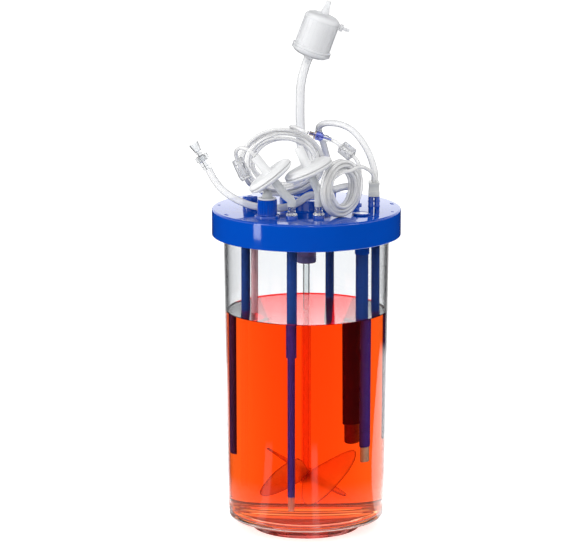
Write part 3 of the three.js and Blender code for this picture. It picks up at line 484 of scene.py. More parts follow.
# cords first: each line of tubing follows the route that its solids hold
tubing = {
    "thinRadius": 1.9,
    "arcRadius": 3.2,
    "feedRadius": 3.65,
    "leftLead": [(-50.6, -60, 390.3), (-54, -59.6, 394.3), (-59.5, -57, 397), (-65, -51.5, 397),
                 (-68.8, -44.5, 392.8), (-69.4, -37.5, 387), (-67.9, -32.3, 381.5), (-64, -27, 371.5),
                 (-60.1, -21.7, 361.5), (-57.8, -13.8, 355.6), (-56.5, -4.3, 352.7)],
    "leftTail": [(-15.2, 1.6, 409.4), (-12.5, -4, 410.4), (-9, -10, 409.9), (-4.4, -14.6, 408.3),
                 (1.6, -16.9, 406.4)],
    "rightLead": [(25.5, -20, 399.5), (29.2, -22, 397.7), (34.4, -24.9, 394), (40, -28, 390), (45.6, -31.1, 386),
                  (49.5, -31.2, 381.6), (52.4, -31.2, 373.5)],
    "rightTail": [(42.5, -59.5, 375.5), (51, -51, 378), (60, -39.5, 374), (66.3, -31, 366), (67, -29.5, 359.2)],
    "arc": [(24, 65, 342.5), (24, 65, 346), (23.2, 63.6, 352), (21.6, 58, 365), (18.6, 49.5, 379),
            (15, 38.5, 392.5), (12.2, 27, 402.5), (14.6, 17, 408.8), (23.2, 7.5, 412.2), (36.4, -1, 411.3),
            (47.1, -9, 406.1), (55.1, -14.5, 397.2), (61.6, -18.5, 386.4), (66, -20.4, 374.5), (67.7, -20.7, 367),
            (67.5, -20.5, 359.2)],
    "feed": [(50, 14, 337.4), (50, 13.7, 341.5), (49.2, 10, 346), (46, 4, 348.5), (38, -5, 350), (26, -16, 348.5),
             (14, -24, 345.5), (2, -30, 345.3), (-7, -34, 340), (-17, -35, 335.6), (-31, -35, 333.6),
             (-46, -35, 334.8), (-60, -31, 337.5), (-73, -26, 343), (-84, -21, 350.5), (-92, -17, 360),
             (-97.2, -15, 369.5)],
}

# each turn of a coil: its size as a share of the coil's reach, and how far it stands off the middle plane
leftTurns = {
    "centre": (-24.5, 2.2, 373.3),
    "across": (1, 0, 0),
    "reach": (43.5, 34.5),
    "start": -141,
    "end": 2110,
    "shares": [(0.86, 0.5), (0.95, 4.0), (0.94, -3.6), (0.87, 3.4), (0.8, -3.4), (0.7, -0.4), (0.66, 3.6),
               (0.6, 4.4)],
    "wander": 0.035,
}
rightTurns = {
    "centre": (34, -52, 356.8),
    "across": (math.cos(math.radians(49)), math.sin(math.radians(49)), 0),
    "reach": (28.5, 28.5),
    "start": 12,
    "end": -3060,
    "shares": [(0.93, 0.5), (0.92, 3.9), (0.93, -3.9), (0.8, 4.3), (0.81, 0.0), (0.79, -4.2), (0.66, 4.0),
               (0.67, 0.2), (0.64, -4.0), (0.6, -4.6)],
    "wander": 0.018,
}


def coilPoints(turns, perTurn=16):
    centre = Vector(turns["centre"])
    across = Vector(turns["across"])
    normal = up.cross(across)
    shares = turns["shares"]
    sweep = turns["end"] - turns["start"]
    count = round(perTurn * abs(sweep) / 360)
    points = []
    for i in range(count + 1):
        turn, part = divmod(i / perTurn, 1)
        turn = min(int(turn), len(shares) - 2)
        blend = part * part * (3 - 2 * part)
        share = shares[turn][0] * (1 - blend) + shares[turn + 1][0] * blend
        off = shares[turn][1] * (1 - blend) + shares[turn + 1][1] * blend
        angle = math.radians(turns["start"] + sweep * i / count)
        share *= 1 + turns["wander"] * math.sin(2.3 * angle + 1.7 * turn)
        spot = centre + across * share * turns["reach"][0] * math.cos(angle)
        spot += up * share * turns["reach"][1] * math.sin(angle) + normal * off
        points.append(tuple(spot))
    return points


leftBack = [(-2.5, 8.6, 362), (1.5, 10, 372), (0, 10.4, 382), (-4.5, 10.4, 392), (-9.8, 9.8, 401), (-13.6, 6.6, 407)]
leftLine = tubing["leftLead"] + coilPoints(leftTurns)[1:-1] + leftBack + tubing["leftTail"]
rightBack = [(23.5, -61.6, 365.5), (29.5, -62.6, 371), (35.6, -62, 374.6)]
rightLine = tubing["rightLead"] + coilPoints(rightTurns)[1:-1] + rightBack + tubing["rightTail"]
leftCord = cordPiece("leftGasLine", leftLine, tubing["thinRadius"], "thinSilicone",
                     ["left_coil", "left_coil_lead", "left_coil_tail"])
rightCord = cordPiece("rightGasLine", rightLine, tubing["thinRadius"], "thinSilicone",
                      ["right_coil", "right_coil_lead", "right_coil_tail"])
arcCord = cordPiece("arcHose", tubing["arc"], tubing["arcRadius"], "silicone", ["arc_hose"])
feedCord = cordPiece("feedHose", tubing["feed"], tubing["feedRadius"], "silicone", ["feed_hose"])
print("cords laid, metres:", [round(routeLength(r), 3) for r in (leftLine, rightLine, tubing["arc"], tubing["feed"])])


# vessel: a draughted tub on a moulded foot ring, with a flange under the lid
vesselSizes = {
    "wall": 2.5,
    "rim": 83.6,
    "base": 79.1,
    "corner": 4,
    "innerCorner": 8,
    "foot": 55,
    "footLand": 3.5,
    "draught": 1,
    "underside": 12,
    "floor": 4,
    "flange": 3,
    "lip": 6.4,
}
mediumSizes = {"gap": 0.08, "dip": 1.2, "edge": [(0.05, 0), (0.5, 0.55), (1.4, 0.95), (3, 1.15)]}
vesselTop = topOf("vessel")
mediumLevel = topOf("culture_medium")
dipLevel = mediumLevel - mediumSizes["dip"]  # the surface stands higher where it meets the wall


def vesselRadius(height):
    s = vesselSizes
    start = s["underside"] + s["corner"]
    neck = vesselTop - s["flange"]
    return s["base"] + (s["rim"] - s["base"]) * (height - start) / (neck - start)


def insideProfile(level, gap=0.0):
    s = vesselSizes
    floorTop = s["underside"] + s["floor"]
    turnRadius = vesselRadius(floorTop + s["innerCorner"]) - s["wall"]
    corner = arcPoints((turnRadius - s["innerCorner"], floorTop + s["innerCorner"]),
                       (s["innerCorner"] - gap, s["innerCorner"] - gap), -90, 0, 8)
    return [(0, floorTop + gap), *corner, (vesselRadius(level) - s["wall"] - gap, level)]


def makeVessel():
    s = vesselSizes
    top, level = vesselTop, mediumLevel
    neck = top - s["flange"]
    hollow = s["foot"] - s["footLand"]
    outerCorner = arcPoints((s["base"] - s["corner"], s["underside"] + s["corner"]),
                            (s["corner"], s["corner"]), -90, 0, 6)
    profile = [
        (0, s["underside"]),
        (hollow - s["draught"] - 2, s["underside"]),
        (hollow - s["draught"] - 0.6, s["underside"] - 0.6),
        (hollow, 0.6),
        (hollow + 0.6, 0),
        (s["foot"] - 0.6, 0),
        (s["foot"], 0.6),
        (s["foot"] + s["draught"] + 0.3, s["underside"] - 1.6),
        (s["foot"] + s["draught"] + 2, s["underside"]),
        *outerCorner,
        (s["rim"] - 0.1, neck - 6),
        (s["rim"], neck - 1.5),
        (s["rim"] + 1.5, neck),
        (s["rim"] + s["lip"] - 0.6, neck),
        (s["rim"] + s["lip"], neck + 0.6),
        (s["rim"] + s["lip"], top - 0.6),
        (s["rim"] + s["lip"] - 0.6, top),
        (s["rim"] - s["wall"] + 0.6, top),
        (s["rim"] - s["wall"], top - 0.6),
        (vesselRadius(neck) - s["wall"], neck),
        (vesselRadius(level) - s["wall"], level),
        *reversed(insideProfile(level)[:-1]),
    ]
    bm = bmesh.new()
    spin(bm, profile, 128)
    cleaned(bm)
    for face in bm.faces:  # where the medium wets the wall, light bends less, and its colour glows in the foot
        middle = face.calc_center_median() / mm
        inside = math.hypot(middle.x, middle.y) < vesselRadius(middle.z) - 1.2
        wet = int(inside and s["underside"] + 1 < middle.z < level)
        # faces of the foot take the pink finish: painted glow of the medium
        face.material_index = 2 if middle.z < s["underside"] + 0.5 else wet
    madePiece("vesselTub", bm, ["vesselClear", "vesselWet", "footRedGlow"], "vessel")


def makeMedium():
    side = insideProfile(mediumLevel, mediumSizes["gap"])
    edge = side[-1][0]
    meniscus = [(edge - inwards, mediumLevel - down) for inwards, down in mediumSizes["edge"]]
    bm = bmesh.new()
    spin(bm, [*side[:-1], *meniscus, (0, dipLevel)], 128)
    cleaned(bm)
    for face in bm.faces:
        face.material_index = int(face.normal.z > 0.3)
    madePiece("liquidMedium", bm, ["mediumSide", "cultureMedium"], "culture_medium")


makeVessel()
makeMedium()
print("vessel and medium made")


# head plate: lid, hub, bosses and sockets moulded as one
plateSizes = {
    "thickness": 5,
    "skirt": 27,
    "skirtWall": 3,
    "edge": 2,
    "spigotDepth": 8,
    "spigotWall": 2.5,
    "hubHeight": 10.5,
    "hubRadius": 27,
    "hubEdge": 1.2,
    "exhaustSeat": 18.3,
}
lidTop = vesselTop + fit + plateSizes["thickness"]
ports = {
    "sensor": placeOf("sensor_plug"),
    "left": placeOf("left_port_stopper"),
    "exhaust": placeOf("exhaust_adapter"),
    "leftFilter": placeOf("left_filter_connector"),
    "rightFilter": placeOf("right_filter_connector"),
    "feed": (50.0, 14.0),
    "back": placeOf("thermowell"),
    "gas": placeOf("gas_connector"),
}


def bossProfile(radius, bottom, top, edge):
    return [(0, bottom), (radius, bottom), (radius, top - edge), (radius - 0.3 * edge, top - 0.3 * edge),
            (radius - edge, top), (0, top)]


def makeHeadPlate():
    s = plateSizes
    bm = bmesh.new()
    lid = radiusOf("head_plate")
    under = lidTop - s["thickness"]
    inner = lid - s["skirtWall"]
    skirtBottom = lidTop - s["skirt"]
    spigot = vesselSizes["rim"] - vesselSizes["wall"] - fit
    spin(bm, [
        (0, under), (spigot - s["spigotWall"], under), (spigot - s["spigotWall"] + 0.3, under - s["spigotDepth"]),
        (spigot - 0.5, under - s["spigotDepth"]), (spigot, under - s["spigotDepth"] + 0.8), (spigot, under),
        (inner, under), (inner, skirtBottom + 0.5), (inner + 0.5, skirtBottom), (lid - 0.6, skirtBottom),
        (lid, skirtBottom + 0.6),
        *arcPoints((lid - s["edge"], lidTop - s["edge"]), (s["edge"], s["edge"]), 0, 90, 7), (0, lidTop),
    ], steps=160)
    hubTop = lidTop + s["hubHeight"]
    spin(bm, [
        (0, lidTop - 0.4), (s["hubRadius"] + 1.2, lidTop - 0.4), (s["hubRadius"] + 1.0, lidTop + 0.2),
        (s["hubRadius"] + 0.25, lidTop + 1.0), (s["hubRadius"], lidTop + 2.0),
        *arcPoints((s["hubRadius"] - s["hubEdge"], hubTop - s["hubEdge"]), (s["hubEdge"],) * 2, 0, 90, 5),
        (s["hubRadius"] - 6, hubTop), (s["hubRadius"] - 6.5, hubTop - 0.5), (s["hubRadius"] - 14, hubTop - 0.5),
        (s["hubRadius"] - 14.5, hubTop), (0, hubTop),
    ], steps=96)
    base = lidTop - 0.4
    for name, radius, height, edge in (
        ("sensor", 12.5, 2.5, 0.8), ("left", 7.5, 6, 0.7), ("exhaust", 14, 2, 0.7), ("exhaust", 12.4, 18, 0.5),
        ("leftFilter", 5.6, 3, 0.6), ("rightFilter", 5.6, 3, 0.6), ("feed", 5.65, 2, 0.6), ("feed", 3.65, 9, 0.4),
        ("back", 6.2, 6, 0.6), ("back", 3.2, 14, 0.4),
    ):
        spin(bm, bossProfile(radius, base, lidTop + height, edge), 48, ports[name])
    for side in (-3, 3):
        place = (ports["gas"][0] + side, ports["gas"][1])
        spin(bm, bossProfile(2.6, base, lidTop + 16.5, 0.4), 40, place)
        for ringAt in (5.5, 10.5):
            spin(bm, bossProfile(3.0, lidTop + ringAt, lidTop + ringAt + 1.6, 0.5), 40, place)
    for node in ("level_tube", "sample_tube", "harvest_sleeve", "thermowell", "addition_tube", "sparge_tube"):
        outer = radiusOf(node)
        wall, depth = (0.9, 34) if node == "sparge_tube" else (2.0, 12)
        wide = outer + wall
        spin(bm, [
            (outer + fit, under - depth), (wide - 0.3, under - depth), (wide, under - depth + 0.3), (wide, under),
            (outer + fit, under),
        ], 48, placeOf(node))
    cleaned(bm)
    marks = bmesh.new()  # small raised pips that tell the ports apart, each port with its own count
    for count, angle in enumerate((251, 226, 205, 172, 145, 118, 62, 38, 12, 345, 318, 292)):
        for i in range(1 + count % 3):
            turn = math.radians(angle + 1.6 * i)
            shift = Matrix.Translation(Vector((88.5 * math.cos(turn), 88.5 * math.sin(turn), lidTop + 0.1)) * mm)
            turned = shift @ Matrix.Rotation(turn, 4, "Z")
            made = bmesh.ops.create_cone(marks, cap_ends=True, segments=12, radius1=0.7 * mm, radius2=0.5 * mm,
                                         depth=0.5 * mm, matrix=turned)
            bmesh.ops.scale(marks, verts=made["verts"], vec=(2.2, 1, 1), space=turned.inverted())
    marksMesh = bpy.data.meshes.new("portMarks")
    marks.to_mesh(marksMesh)
    marks.free()
    bm.from_mesh(marksMesh)
    madePiece("headPlate", bm, "lidBlue", "head_plate")


makeHeadPlate()
print("head plate made")


# dip tubes and what hangs under the plate

def pipeProfile(radius, bore, bottom, top, level, edge=0.25):
    return [
        (bore, bottom), (radius - edge, bottom), (radius, bottom + edge), (radius, level), (radius, top),
        (bore, top), (bore, level),
    ]


tubeWalls = {
    "level_tube": 1.8,
    "sample_tube": 1.8,
    "harvest_sleeve": 1.1,
    "harvest_tube": 0.9,
    "thermowell": 1.8,
    "sparge_tube": 1.1,
    "addition_tube": 1.8,
}


def makeDipTubes():
    for node, wall in tubeWalls.items():
        radius = radiusOf(node)
        bottom, top = endsOf(node)
        clear = node == "sample_tube"
        crossing = min(max(dipLevel, bottom + 1), top - 1)
        spunPiece(node.replace("_t", "T").replace("_s", "S") + "Pipe",
                  [pipeProfile(radius, radius - wall, bottom, top, crossing)],
                  ["sampleClear", "sampleRedLit"] if clear else ["tubeBlue", "tubeWet"],
                  node, 48, wetBelow=dipLevel)


def makeTubeEnds():
    bottom, top = endsOf("thermowell_tip")
    shoulder = bottomOf("thermowell") - fit
    spunPiece("thermowellTip", [[
        (0, bottom), *arcPoints((0.1, bottom + 3.5), (3.5, 3.5), -90, 0, 8), (3.6, shoulder), (2.3, shoulder),
        (2.3, top), (0, top),
    ]], "darkSteel", "thermowell_tip", 40)
    bottom, top = endsOf("sparge_holder")
    shoulder = bottomOf("sparge_tube") - fit
    spunPiece("spargeHolder", [[
        (0, bottom + 0.4), (4.2, bottom + 0.4), (5.4, bottom), (5.9, bottom + 0.7), (6.1, bottom + 2),
        (6.1, shoulder - 0.2), (5.9, shoulder), (4.7, shoulder), (4.7, top), (0, top),
    ]], "tubeWet", "sparge_holder", 40)
    bottom = bottomOf("sparge_tip")
    shoulder = bottomOf("sparge_holder")
    spunPiece("sinteredSparger", [[
        (0, bottom), (4.4, bottom), (5.0, bottom + 0.3), (5.2, bottom + 0.9), (5.2, shoulder - fit),
        (3.7, shoulder - fit), (3.7, shoulder + fit), (0, shoulder + fit),
    ]], "porousSteel", "sparge_tip", 48)
    bottom, top = endsOf("harvest_tip")
    end = bottomOf("harvest_tube") - fit
    spunPiece("harvestTip", [[
        (1.2, bottom), (2.7, bottom), (3.1, bottom + 0.4), (3.3, bottom + 1.2), (3.3, end), (2.3, end), (2.3, top),
        (1.2, top),
    ]], "roseTip", "harvest_tip", 40)


def makeBearing():
    bottom, top = endsOf("bearing_housing")
    outer = 9.85
    spunPiece("bearingHousing", [[
        (4.3, bottom), (outer - 0.8, bottom), (outer, bottom + 0.8), (outer, bottom + 6),
        (outer - 0.25, bottom + 6.3), (outer - 0.25, bottom + 7.3), (outer, bottom + 7.6), (outer, top - 4.2),
        (outer + 0.9, top - 3.3), (25, top - 3.3), (25, top), (6.5, top), (6.5, bottom + 1.5), (4.3, bottom + 1.5),
    ]], "housingBlue", "bearing_housing", 56)


makeDipTubes()
makeTubeEnds()
makeBearing()
print("tubes under the plate made")


# stirrer
impellerSizes = {
    "radius": 38,
    "reach": 0.95,
    "hub": 5.5,
    "thickness": 1.8,
    "chord": 74,
    "pitch": 42,
    "blades": 3,
    "bore": 3.8,
    "hubHeight": 16,
    "round": 0.35,
    "edgeShadeFace": 0.00005,
    "shaftBore": 2.3,
    "curves": [
        ((0, -0.2), (0.12, -0.5), (0.24, -0.95), (0.48, -1)),
        ((0.48, -1), (0.76, -1), (0.92, -0.4), (0.96, 0.15)),
        ((0.96, 0.15), (0.97, 0.5), (0.86, 0.88), (0.68, 0.95)),
        ((0.68, 0.95), (0.5, 0.98), (0.2, 0.45), (0, 0.16)),
    ],
}


def bezierAt(curve, t):
    a, b, c, d = (Vector((*p, 0)) for p in curve)
    return a * (1 - t) ** 3 + 3 * b * t * (1 - t) ** 2 + 3 * c * t * t * (1 - t) + d * t ** 3


def makeStirrer():
    s = impellerSizes
    shaft = radiusOf("stirrer_shaft")
    bottom, top = endsOf("stirrer_shaft")
    bore = s["shaftBore"]
    spunPiece("stirrerShaft", [[(bore, bottom), (shaft, bottom), (shaft, dipLevel), (shaft, top), (bore, top),
                                (bore, dipLevel)]], ["shaftClear", "shaftRedLit"], "stirrer_shaft",
              48, (0, 0), wetBelow=dipLevel, body="stirrer")
    bm = bmesh.new()
    reach, half = s["radius"] * s["reach"], s["chord"] / 2
    middle = sum(endsOf("impeller")) / 2
    for i in range(s["blades"]):
        outline = [bezierAt(curve, k / 10) for curve in s["curves"] for k in range(10)]
        verts = [bm.verts.new((p.x * reach * mm, p.y * half * mm, 0)) for p in outline]
        leaf = verts + extrudedFaces(bm, [bm.faces.new(verts)], (0, 0, s["thickness"] * mm))
        bmesh.ops.translate(bm, verts=leaf, vec=(0, 0, -s["thickness"] / 2 * mm))
        turn = math.pi / 2 + i * 2 * math.pi / s["blades"]
        place = Matrix.Translation((0, 0, middle * mm)) @ Matrix.Rotation(turn, 4, "Z")
        bmesh.ops.transform(bm, verts=leaf, matrix=place @ Matrix.Rotation(math.radians(s["pitch"]), 4, "X"))
    bmesh.ops.recalc_face_normals(bm, faces=bm.faces)
    tagAll(bm)
    low, high = middle - s["hubHeight"] / 2, middle + s["hubHeight"] / 2
    spin(bm, [
        (s["bore"], low + 0.7), (s["hub"] - 1, low), (s["hub"], low + 1), (s["hub"], high - 1),
        (s["hub"] - 1, high), (s["bore"], high),
    ], 48)
    cleaned(bm, s["round"])
    # small faces along the blade edges take the dark edge finish, a painted shade; the hub takes its own finish
    for face in bm.faces:
        middle = face.calc_center_median() / mm
        onHub = math.hypot(middle.x, middle.y) < s["hub"] + 0.2
        face.material_index = 2 if onHub else int(face.calc_area() < s["edgeShadeFace"])
    madePiece("leafImpeller", bm, ["leafFace", "leafEdgeShade", "hubRedLit"], "impeller", body="stirrer",
              smooth=30)


makeStirrer()
print("stirrer made")


# fittings on the ports
collarSizes = {"flutes": 20, "steps": 8, "depth": 0.55, "chamfer": 0.5, "rim": 0.7, "bore": 6.2}


def makeSensorFittings():
    s = collarSizes
    place = placeOf("sensor_collar")
    bottom, top = endsOf("sensor_collar")
    radius = radiusOf("sensor_collar")
    bm = bmesh.new()
    made = bmesh.ops.create_circle(bm, cap_ends=True, segments=s["flutes"] * s["steps"], radius=radius * mm)
    for i, vert in enumerate(made["verts"]):
        wave = 0.5 - 0.5 * math.cos(2 * math.pi * i / s["steps"])
        vert.co *= (radius - s["depth"] * wave ** 2) / radius
    extrudedFaces(bm, list(bm.faces), (0, 0, (top - bottom - s["chamfer"]) * mm))
    cap = [f for f in bm.faces if f.normal.z > 0.9 and len(f.verts) > 8 and f.calc_center_median().z > 1 * mm]
    bmesh.ops.inset_region(bm, faces=cap, thickness=s["chamfer"] * mm, depth=s["chamfer"] * mm)
    cap = max((f for f in bm.faces if len(f.verts) > 8), key=lambda f: f.calc_center_median().z)
    bmesh.ops.inset_region(bm, faces=[cap], thickness=s["rim"] * mm, depth=0)
    bmesh.ops.translate(bm, verts=bm.verts, vec=point(*place, bottom))
    cleaned(bm)
    madePiece("sensorCollar", bm, "lidBlue", "sensor_collar", body="sensor_collar", smooth=25)
    low, high = endsOf("sensor_washer")
    outer = radiusOf("sensor_washer")
    spunPiece("sensorWasher", [[
        (s["bore"], low), (outer - 0.3, low), (outer, low + 0.3), (outer, high - 0.4), (outer - 0.4, high),
        (s["bore"], high),
    ]], "filterWhite", "sensor_washer", 56, place)
    bottom, top = endsOf("sensor_plug")
    stem = radiusOf("sensor_plug")
    dome = arcPoints((0, high), (stem - 0.5, top - high), 0, 90, 9)
    spunPiece("sensorPlug", [[
        (0, bottom), (stem, bottom), (stem, high), *dome,
    ]], "greyPlastic", "sensor_plug", 48, place)


def makePortClosures():
    bottom, top = endsOf("left_port_stopper")
    seat = top - 7.5
    spunPiece("leftPortStopper", [[
        (0, bottom), (4.8, bottom), (4.8, seat), (7.2, seat), (7.5, seat + 0.3), (7.5, seat + 2.2),
        (7.1, seat + 2.6), (7.1, seat + 3.2), (7.5, seat + 3.6), (7.5, top - 1.1), (7.2, top - 0.4), (6.5, top),
        (3, top), (2.6, top - 0.5), (0, top - 0.5),
    ]], "lidBlue", "left_port_stopper", 56, body="left_port_stopper")
    bottom, top = endsOf("sparge_port_cap")
    bm = bmesh.new()
    spin(bm, [
        (0, bottom), (5.9, bottom), (5.9, lidTop + fit), (8.2, lidTop + fit), (8.4, lidTop + 0.6), (8.4, top - 0.5),
        (8.2, top - 0.15), (7.8, top), (7.3, top), (7, top - 0.35), (0, top - 0.35),
    ], 56, placeOf("sparge_port_cap"))
    cleaned(bm)
    # the cap's flat top face takes the pale finish: a painted reflection on the blue cap
    for face in bm.faces:
        face.material_index = int(face.normal.z > 0.9 and abs(face.calc_center_median().z / mm - top + 0.35) < 0.1)
    madePiece("spargePortCap", bm, ["lidBlue", "capPaintedSheen"], "sparge_port_cap", body="sparge_port_cap")
    bottom, top = endsOf("exhaust_adapter")
    seat = lidTop + plateSizes["exhaustSeat"]
    spunPiece("exhaustAdapter", [[
        (1.6, bottom), (8.7, bottom), (8.7, seat), (12.1, seat), (12.4, seat + 0.3), (12.4, seat + 2.2),
        (11.6, seat + 3), (5.4, seat + 3), (2.4, seat + 3.3), (2.4, top), (1.6, top),
    ]], "lidBlue", "exhaust_adapter", 56)
    for side in ("left", "right"):
        node = side + "_filter_connector"
        bottom, top = endsOf(node)
        seat = bottom + 3
        spunPiece(side + "FilterConnector", [[
            (0.7, bottom), (1.2, bottom), (1.2, seat), (5.2, seat), (5.6, seat + 0.4), (5.6, seat + 1.6),
            (5.2, seat + 2), (4.3, seat + 2.2), (3.9, seat + 2.8), (3.8, top - 5.5), (3.6, top - 4), (2.2, top - 4),
            (2.2, top), (0.7, top),
        ]], "clearPart", node, 48)


makeSensorFittings()
makePortClosures()
print("port fittings made")


# vent filters: thin discs on edge, each on a short leg hose
filterSizes = {
    "radius": 25,
    "half": 4.25,
    "rim": 0.5,
    "rimWidth": 3.5,
    "neck": 2,
    "outlet": (2.2, 7, 1.1),
    "inlet": (4.75, 18, 1.5),
    "legRadius": 4.25,
    "left": {"port": "leftFilter", "shift": -21.1, "rise": 42.7, "tilt": -37.6},
    "right": {"port": "rightFilter", "shift": -10.1, "rise": 48.5, "tilt": -24.0},
}


def discFrame(disc):
    x, y = ports[disc["port"]]
    spot = point(x + disc["shift"], y, lidTop + disc["rise"])
    return Matrix.Translation(spot) @ Matrix.Rotation(math.radians(disc["tilt"]), 4, "Y")


def discPoint(disc, along):
    return tuple(discFrame(disc) @ point(0, 0, along) / mm)


def shellProfile(stemRadius, stemLength, bore):
    s = filterSizes
    r, half, rim, width = s["radius"], s["half"], s["rim"], s["rimWidth"]
    shoulder = -half - s["neck"]
    stemEnd = shoulder - stemLength
    return [
        (bore, stemEnd), (stemRadius - 0.4, stemEnd), (stemRadius, stemEnd + 0.5), (stemRadius, shoulder - 0.3),
        (4.9, shoulder + 0.2), (5.4, -half - 0.2), (6.2, -half + 0.15), (r - width - 4, -half + 0.15),
        (r - width - 3.2, -half - 0.25), (r - width - 0.4, -half - 0.25), (r - 1.2, -half + s["neck"] - 0.7),
        (r - 0.3, -half + s["neck"]), (r, -half + s["neck"] + 0.8), (r, -rim - 0.3), (r - 0.3, -rim),
        (r - width, -rim), (r - width - 1.2, -half + 1.2), (bore, -half + 1.2),
    ]


def makeFilter(side):
    s = filterSizes
    disc = s[side]
    place = discFrame(disc)
    spunPiece(side + "FilterOutlet", [shellProfile(*s["outlet"])], "filterWhite",
              side + "_filter_outlet", steps=72, matrix=place)
    spunPiece(side + "FilterInlet", [shellProfile(*s["inlet"])], "filterWhite",
              side + "_filter_inlet", steps=72, matrix=place @ Matrix.Rotation(math.pi, 4, "X"))
    node = side + "_filter_connector"
    x, y = placeOf(node)
    start = topOf(node) - 4 + fit
    end = -(s["half"] + s["neck"] + fit)
    leg = s["legRadius"]
    route = [(x, y, start), (x, y, start + leg), *[discPoint(disc, end - back * leg) for back in (4, 2, 0)]]
    hosePiece(side + "FilterLeg", route, leg, "legSilicone", side + "_filter_leg")


makeFilter("left")
makeFilter("right")
print("vent filters made")


# exhaust line: the riser hose and its capsule filter
capsuleSizes = {
    "shift": 10.1,
    "rise": 161.2,
    "tilt": 20,
    "radius": 18.3,
    "lip": 1.9,
    "lipHeight": 2.7,
    "wall": 1.8,
    "joint": -12.5,
    "baseDepth": 9,
    "height": 39,
    "dome": 6.5,
    "crown": 6,
    "vent": 18.5,
    "ventReach": 0.8,
    "hoseRadius": 4.5,
    "ribs": 24,
    "pleats": 40,
    "pleatGap": 2.5,
    "pleatDepth": 2.6,
    "bends": [(-4.4, 51), (-5.3, 71), (-5.5, 96), (-4.8, 113)],
}


def capsuleFrame():
    s = capsuleSizes
    x, y = ports["exhaust"]
    place = point(x + s["shift"], y, lidTop + s["rise"])
    return Matrix.Translation(place) @ Matrix.Rotation(math.radians(s["tilt"]), 4, "Y")


def makeCapsule():
    s = capsuleSizes
    place = capsuleFrame()
    r, wall, lip, joint = s["radius"], s["wall"], s["lipHeight"], s["joint"]
    bottom = joint - s["baseDepth"]
    top = joint + s["height"]
    inner = r - wall
    cup = bottom + wall
    rise = joint - lip - cup
    base = [
        (1.6, bottom - 6), (2.0, bottom - 6), (2.4, bottom - 5.4), (2.4, bottom), (4.9, bottom),
        (5.2, bottom + 0.3), (5.2, cup), *arcPoints((s["crown"], joint - lip), (r - s["crown"], rise), -90, 0, 8),
        (r + s["lip"] - 0.4, joint - lip), (r + s["lip"], joint - lip + 0.4), (r + s["lip"], joint - 0.5),
        (r + s["lip"] - 0.3, joint - 0.15), (inner, joint - 0.15),
        *arcPoints((s["crown"], joint - lip), (inner - s["crown"], rise - wall), 0, -90, 8), (1.6, cup + wall),
    ]
    ledge = [(6, cup + 1), (9, cup + 1), (9, joint - 1), (6, joint - 1)]
    spunPiece("capsuleBase", [base, ledge], "frosted", "capsule_base", steps=72, matrix=place)
    shoulder = top - s["dome"]
    bm = bmesh.new()
    spin(bm, [
        (inner, joint + 0.15), (r + s["lip"] - 0.3, joint + 0.15), (r + s["lip"], joint + 0.5),
        (r + s["lip"], joint + lip - 0.4), (r + s["lip"] - 0.4, joint + lip), (r + 0.5, joint + lip),
        (r, joint + lip + 0.5), (r, shoulder - 1.5), (r + 0.35, shoulder - 1.1), (r + 0.35, shoulder - 0.1),
        (r, shoulder + 0.3), *arcPoints((s["crown"], shoulder + 0.3), (r - s["crown"], s["dome"] - 0.3), 8, 90, 9),
        (4.9, top), (4.2, top + 0.7), (4.2, top + 3.1), (3.9, top + 3.5), (3.6, top + 3.7), (3.5, top + 5.5),
        (3.1, top + 5.8), (3.4, top + 6.1), (3.3, top + 8), (2.8, top + 8.3), (2.8, top + 10.4), (2.5, top + 10.7),
        (2.75, top + 11), (2.7, top + 13), (2.4, top + 13.3), (1.6, top + 13.3), (1.6, top - wall),
        *arcPoints((s["crown"], shoulder), (inner - s["crown"], s["dome"] - wall), 90, 0, 8),
    ], 72)
    for i in range(s["ribs"]):  # fine ribs down the housing's side
        turn = Matrix.Rotation(2 * math.pi * i / s["ribs"], 4, "Z")
        made = bmesh.ops.create_cube(bm, size=1 * mm)
        bmesh.ops.scale(bm, verts=made["verts"], vec=(0.7, 0.9, shoulder - joint - lip - 4))
        bmesh.ops.translate(bm, verts=made["verts"], vec=point(r - 0.05, 0, (joint + lip + shoulder) / 2))
        bmesh.ops.transform(bm, verts=made["verts"], matrix=turn)
    tagAll(bm)
    vent = spin(bm, [
        (1.3, r - 1.6), (3.0, r - 1.6), (3.0, r + s["ventReach"] - 0.3), (2.7, r + s["ventReach"]),
        (1.3, r + s["ventReach"]),
    ], 40)
    turned = Matrix.Translation(point(0, 0, s["vent"])) @ Matrix.Rotation(math.pi / 2, 4, "Y")
    bmesh.ops.transform(bm, verts=vent, matrix=turned)
    cleaned(bm)
    bmesh.ops.transform(bm, verts=bm.verts, matrix=place)
    madePiece("capsuleHousing", bm, "frosted", "capsule_housing")
    seat = Matrix.Translation(point(r + s["ventReach"] + fit, 0, s["vent"])) @ Matrix.Rotation(math.pi / 2, 4, "Y")
    spunPiece("ventValve", [[
        (0.6, 0), (3.6, 0), (3.9, 0.3), (3.9, 0.9), (3.5, 1.3), (3.5, 1.7), (3.9, 2.1), (3.9, 2.7), (3.6, 3),
        (1.7, 3.3), (1.7, 5.6), (2.1, 5.9), (2.1, 6.8), (1.7, 7.1), (1.5, 10.1), (0.6, 10.1),
    ]], "clampClear", "vent_valve", body="vent_valve", steps=40, matrix=place @ seat)
    makeCartridge(place, joint - 1 + fit, shoulder - 0.7)


def makeCartridge(place, low, high):
    s = capsuleSizes
    outer = s["radius"] - s["wall"] - s["pleatGap"]
    bm = bmesh.new()
    loop = bmesh.ops.create_circle(bm, cap_ends=False, segments=s["pleats"] * 2, radius=outer * mm)["verts"]
    for vert in loop[1::2]:
        vert.co *= (outer - s["pleatDepth"]) / outer
    wallRing(bm, loop, 5, low, high)
    bmesh.ops.recalc_face_normals(bm, faces=bm.faces)
    bmesh.ops.transform(bm, verts=bm.verts, matrix=place)
    madePiece("pleatedCartridge", bm, "pleatWhite", "filter_cartridge", smooth=20)


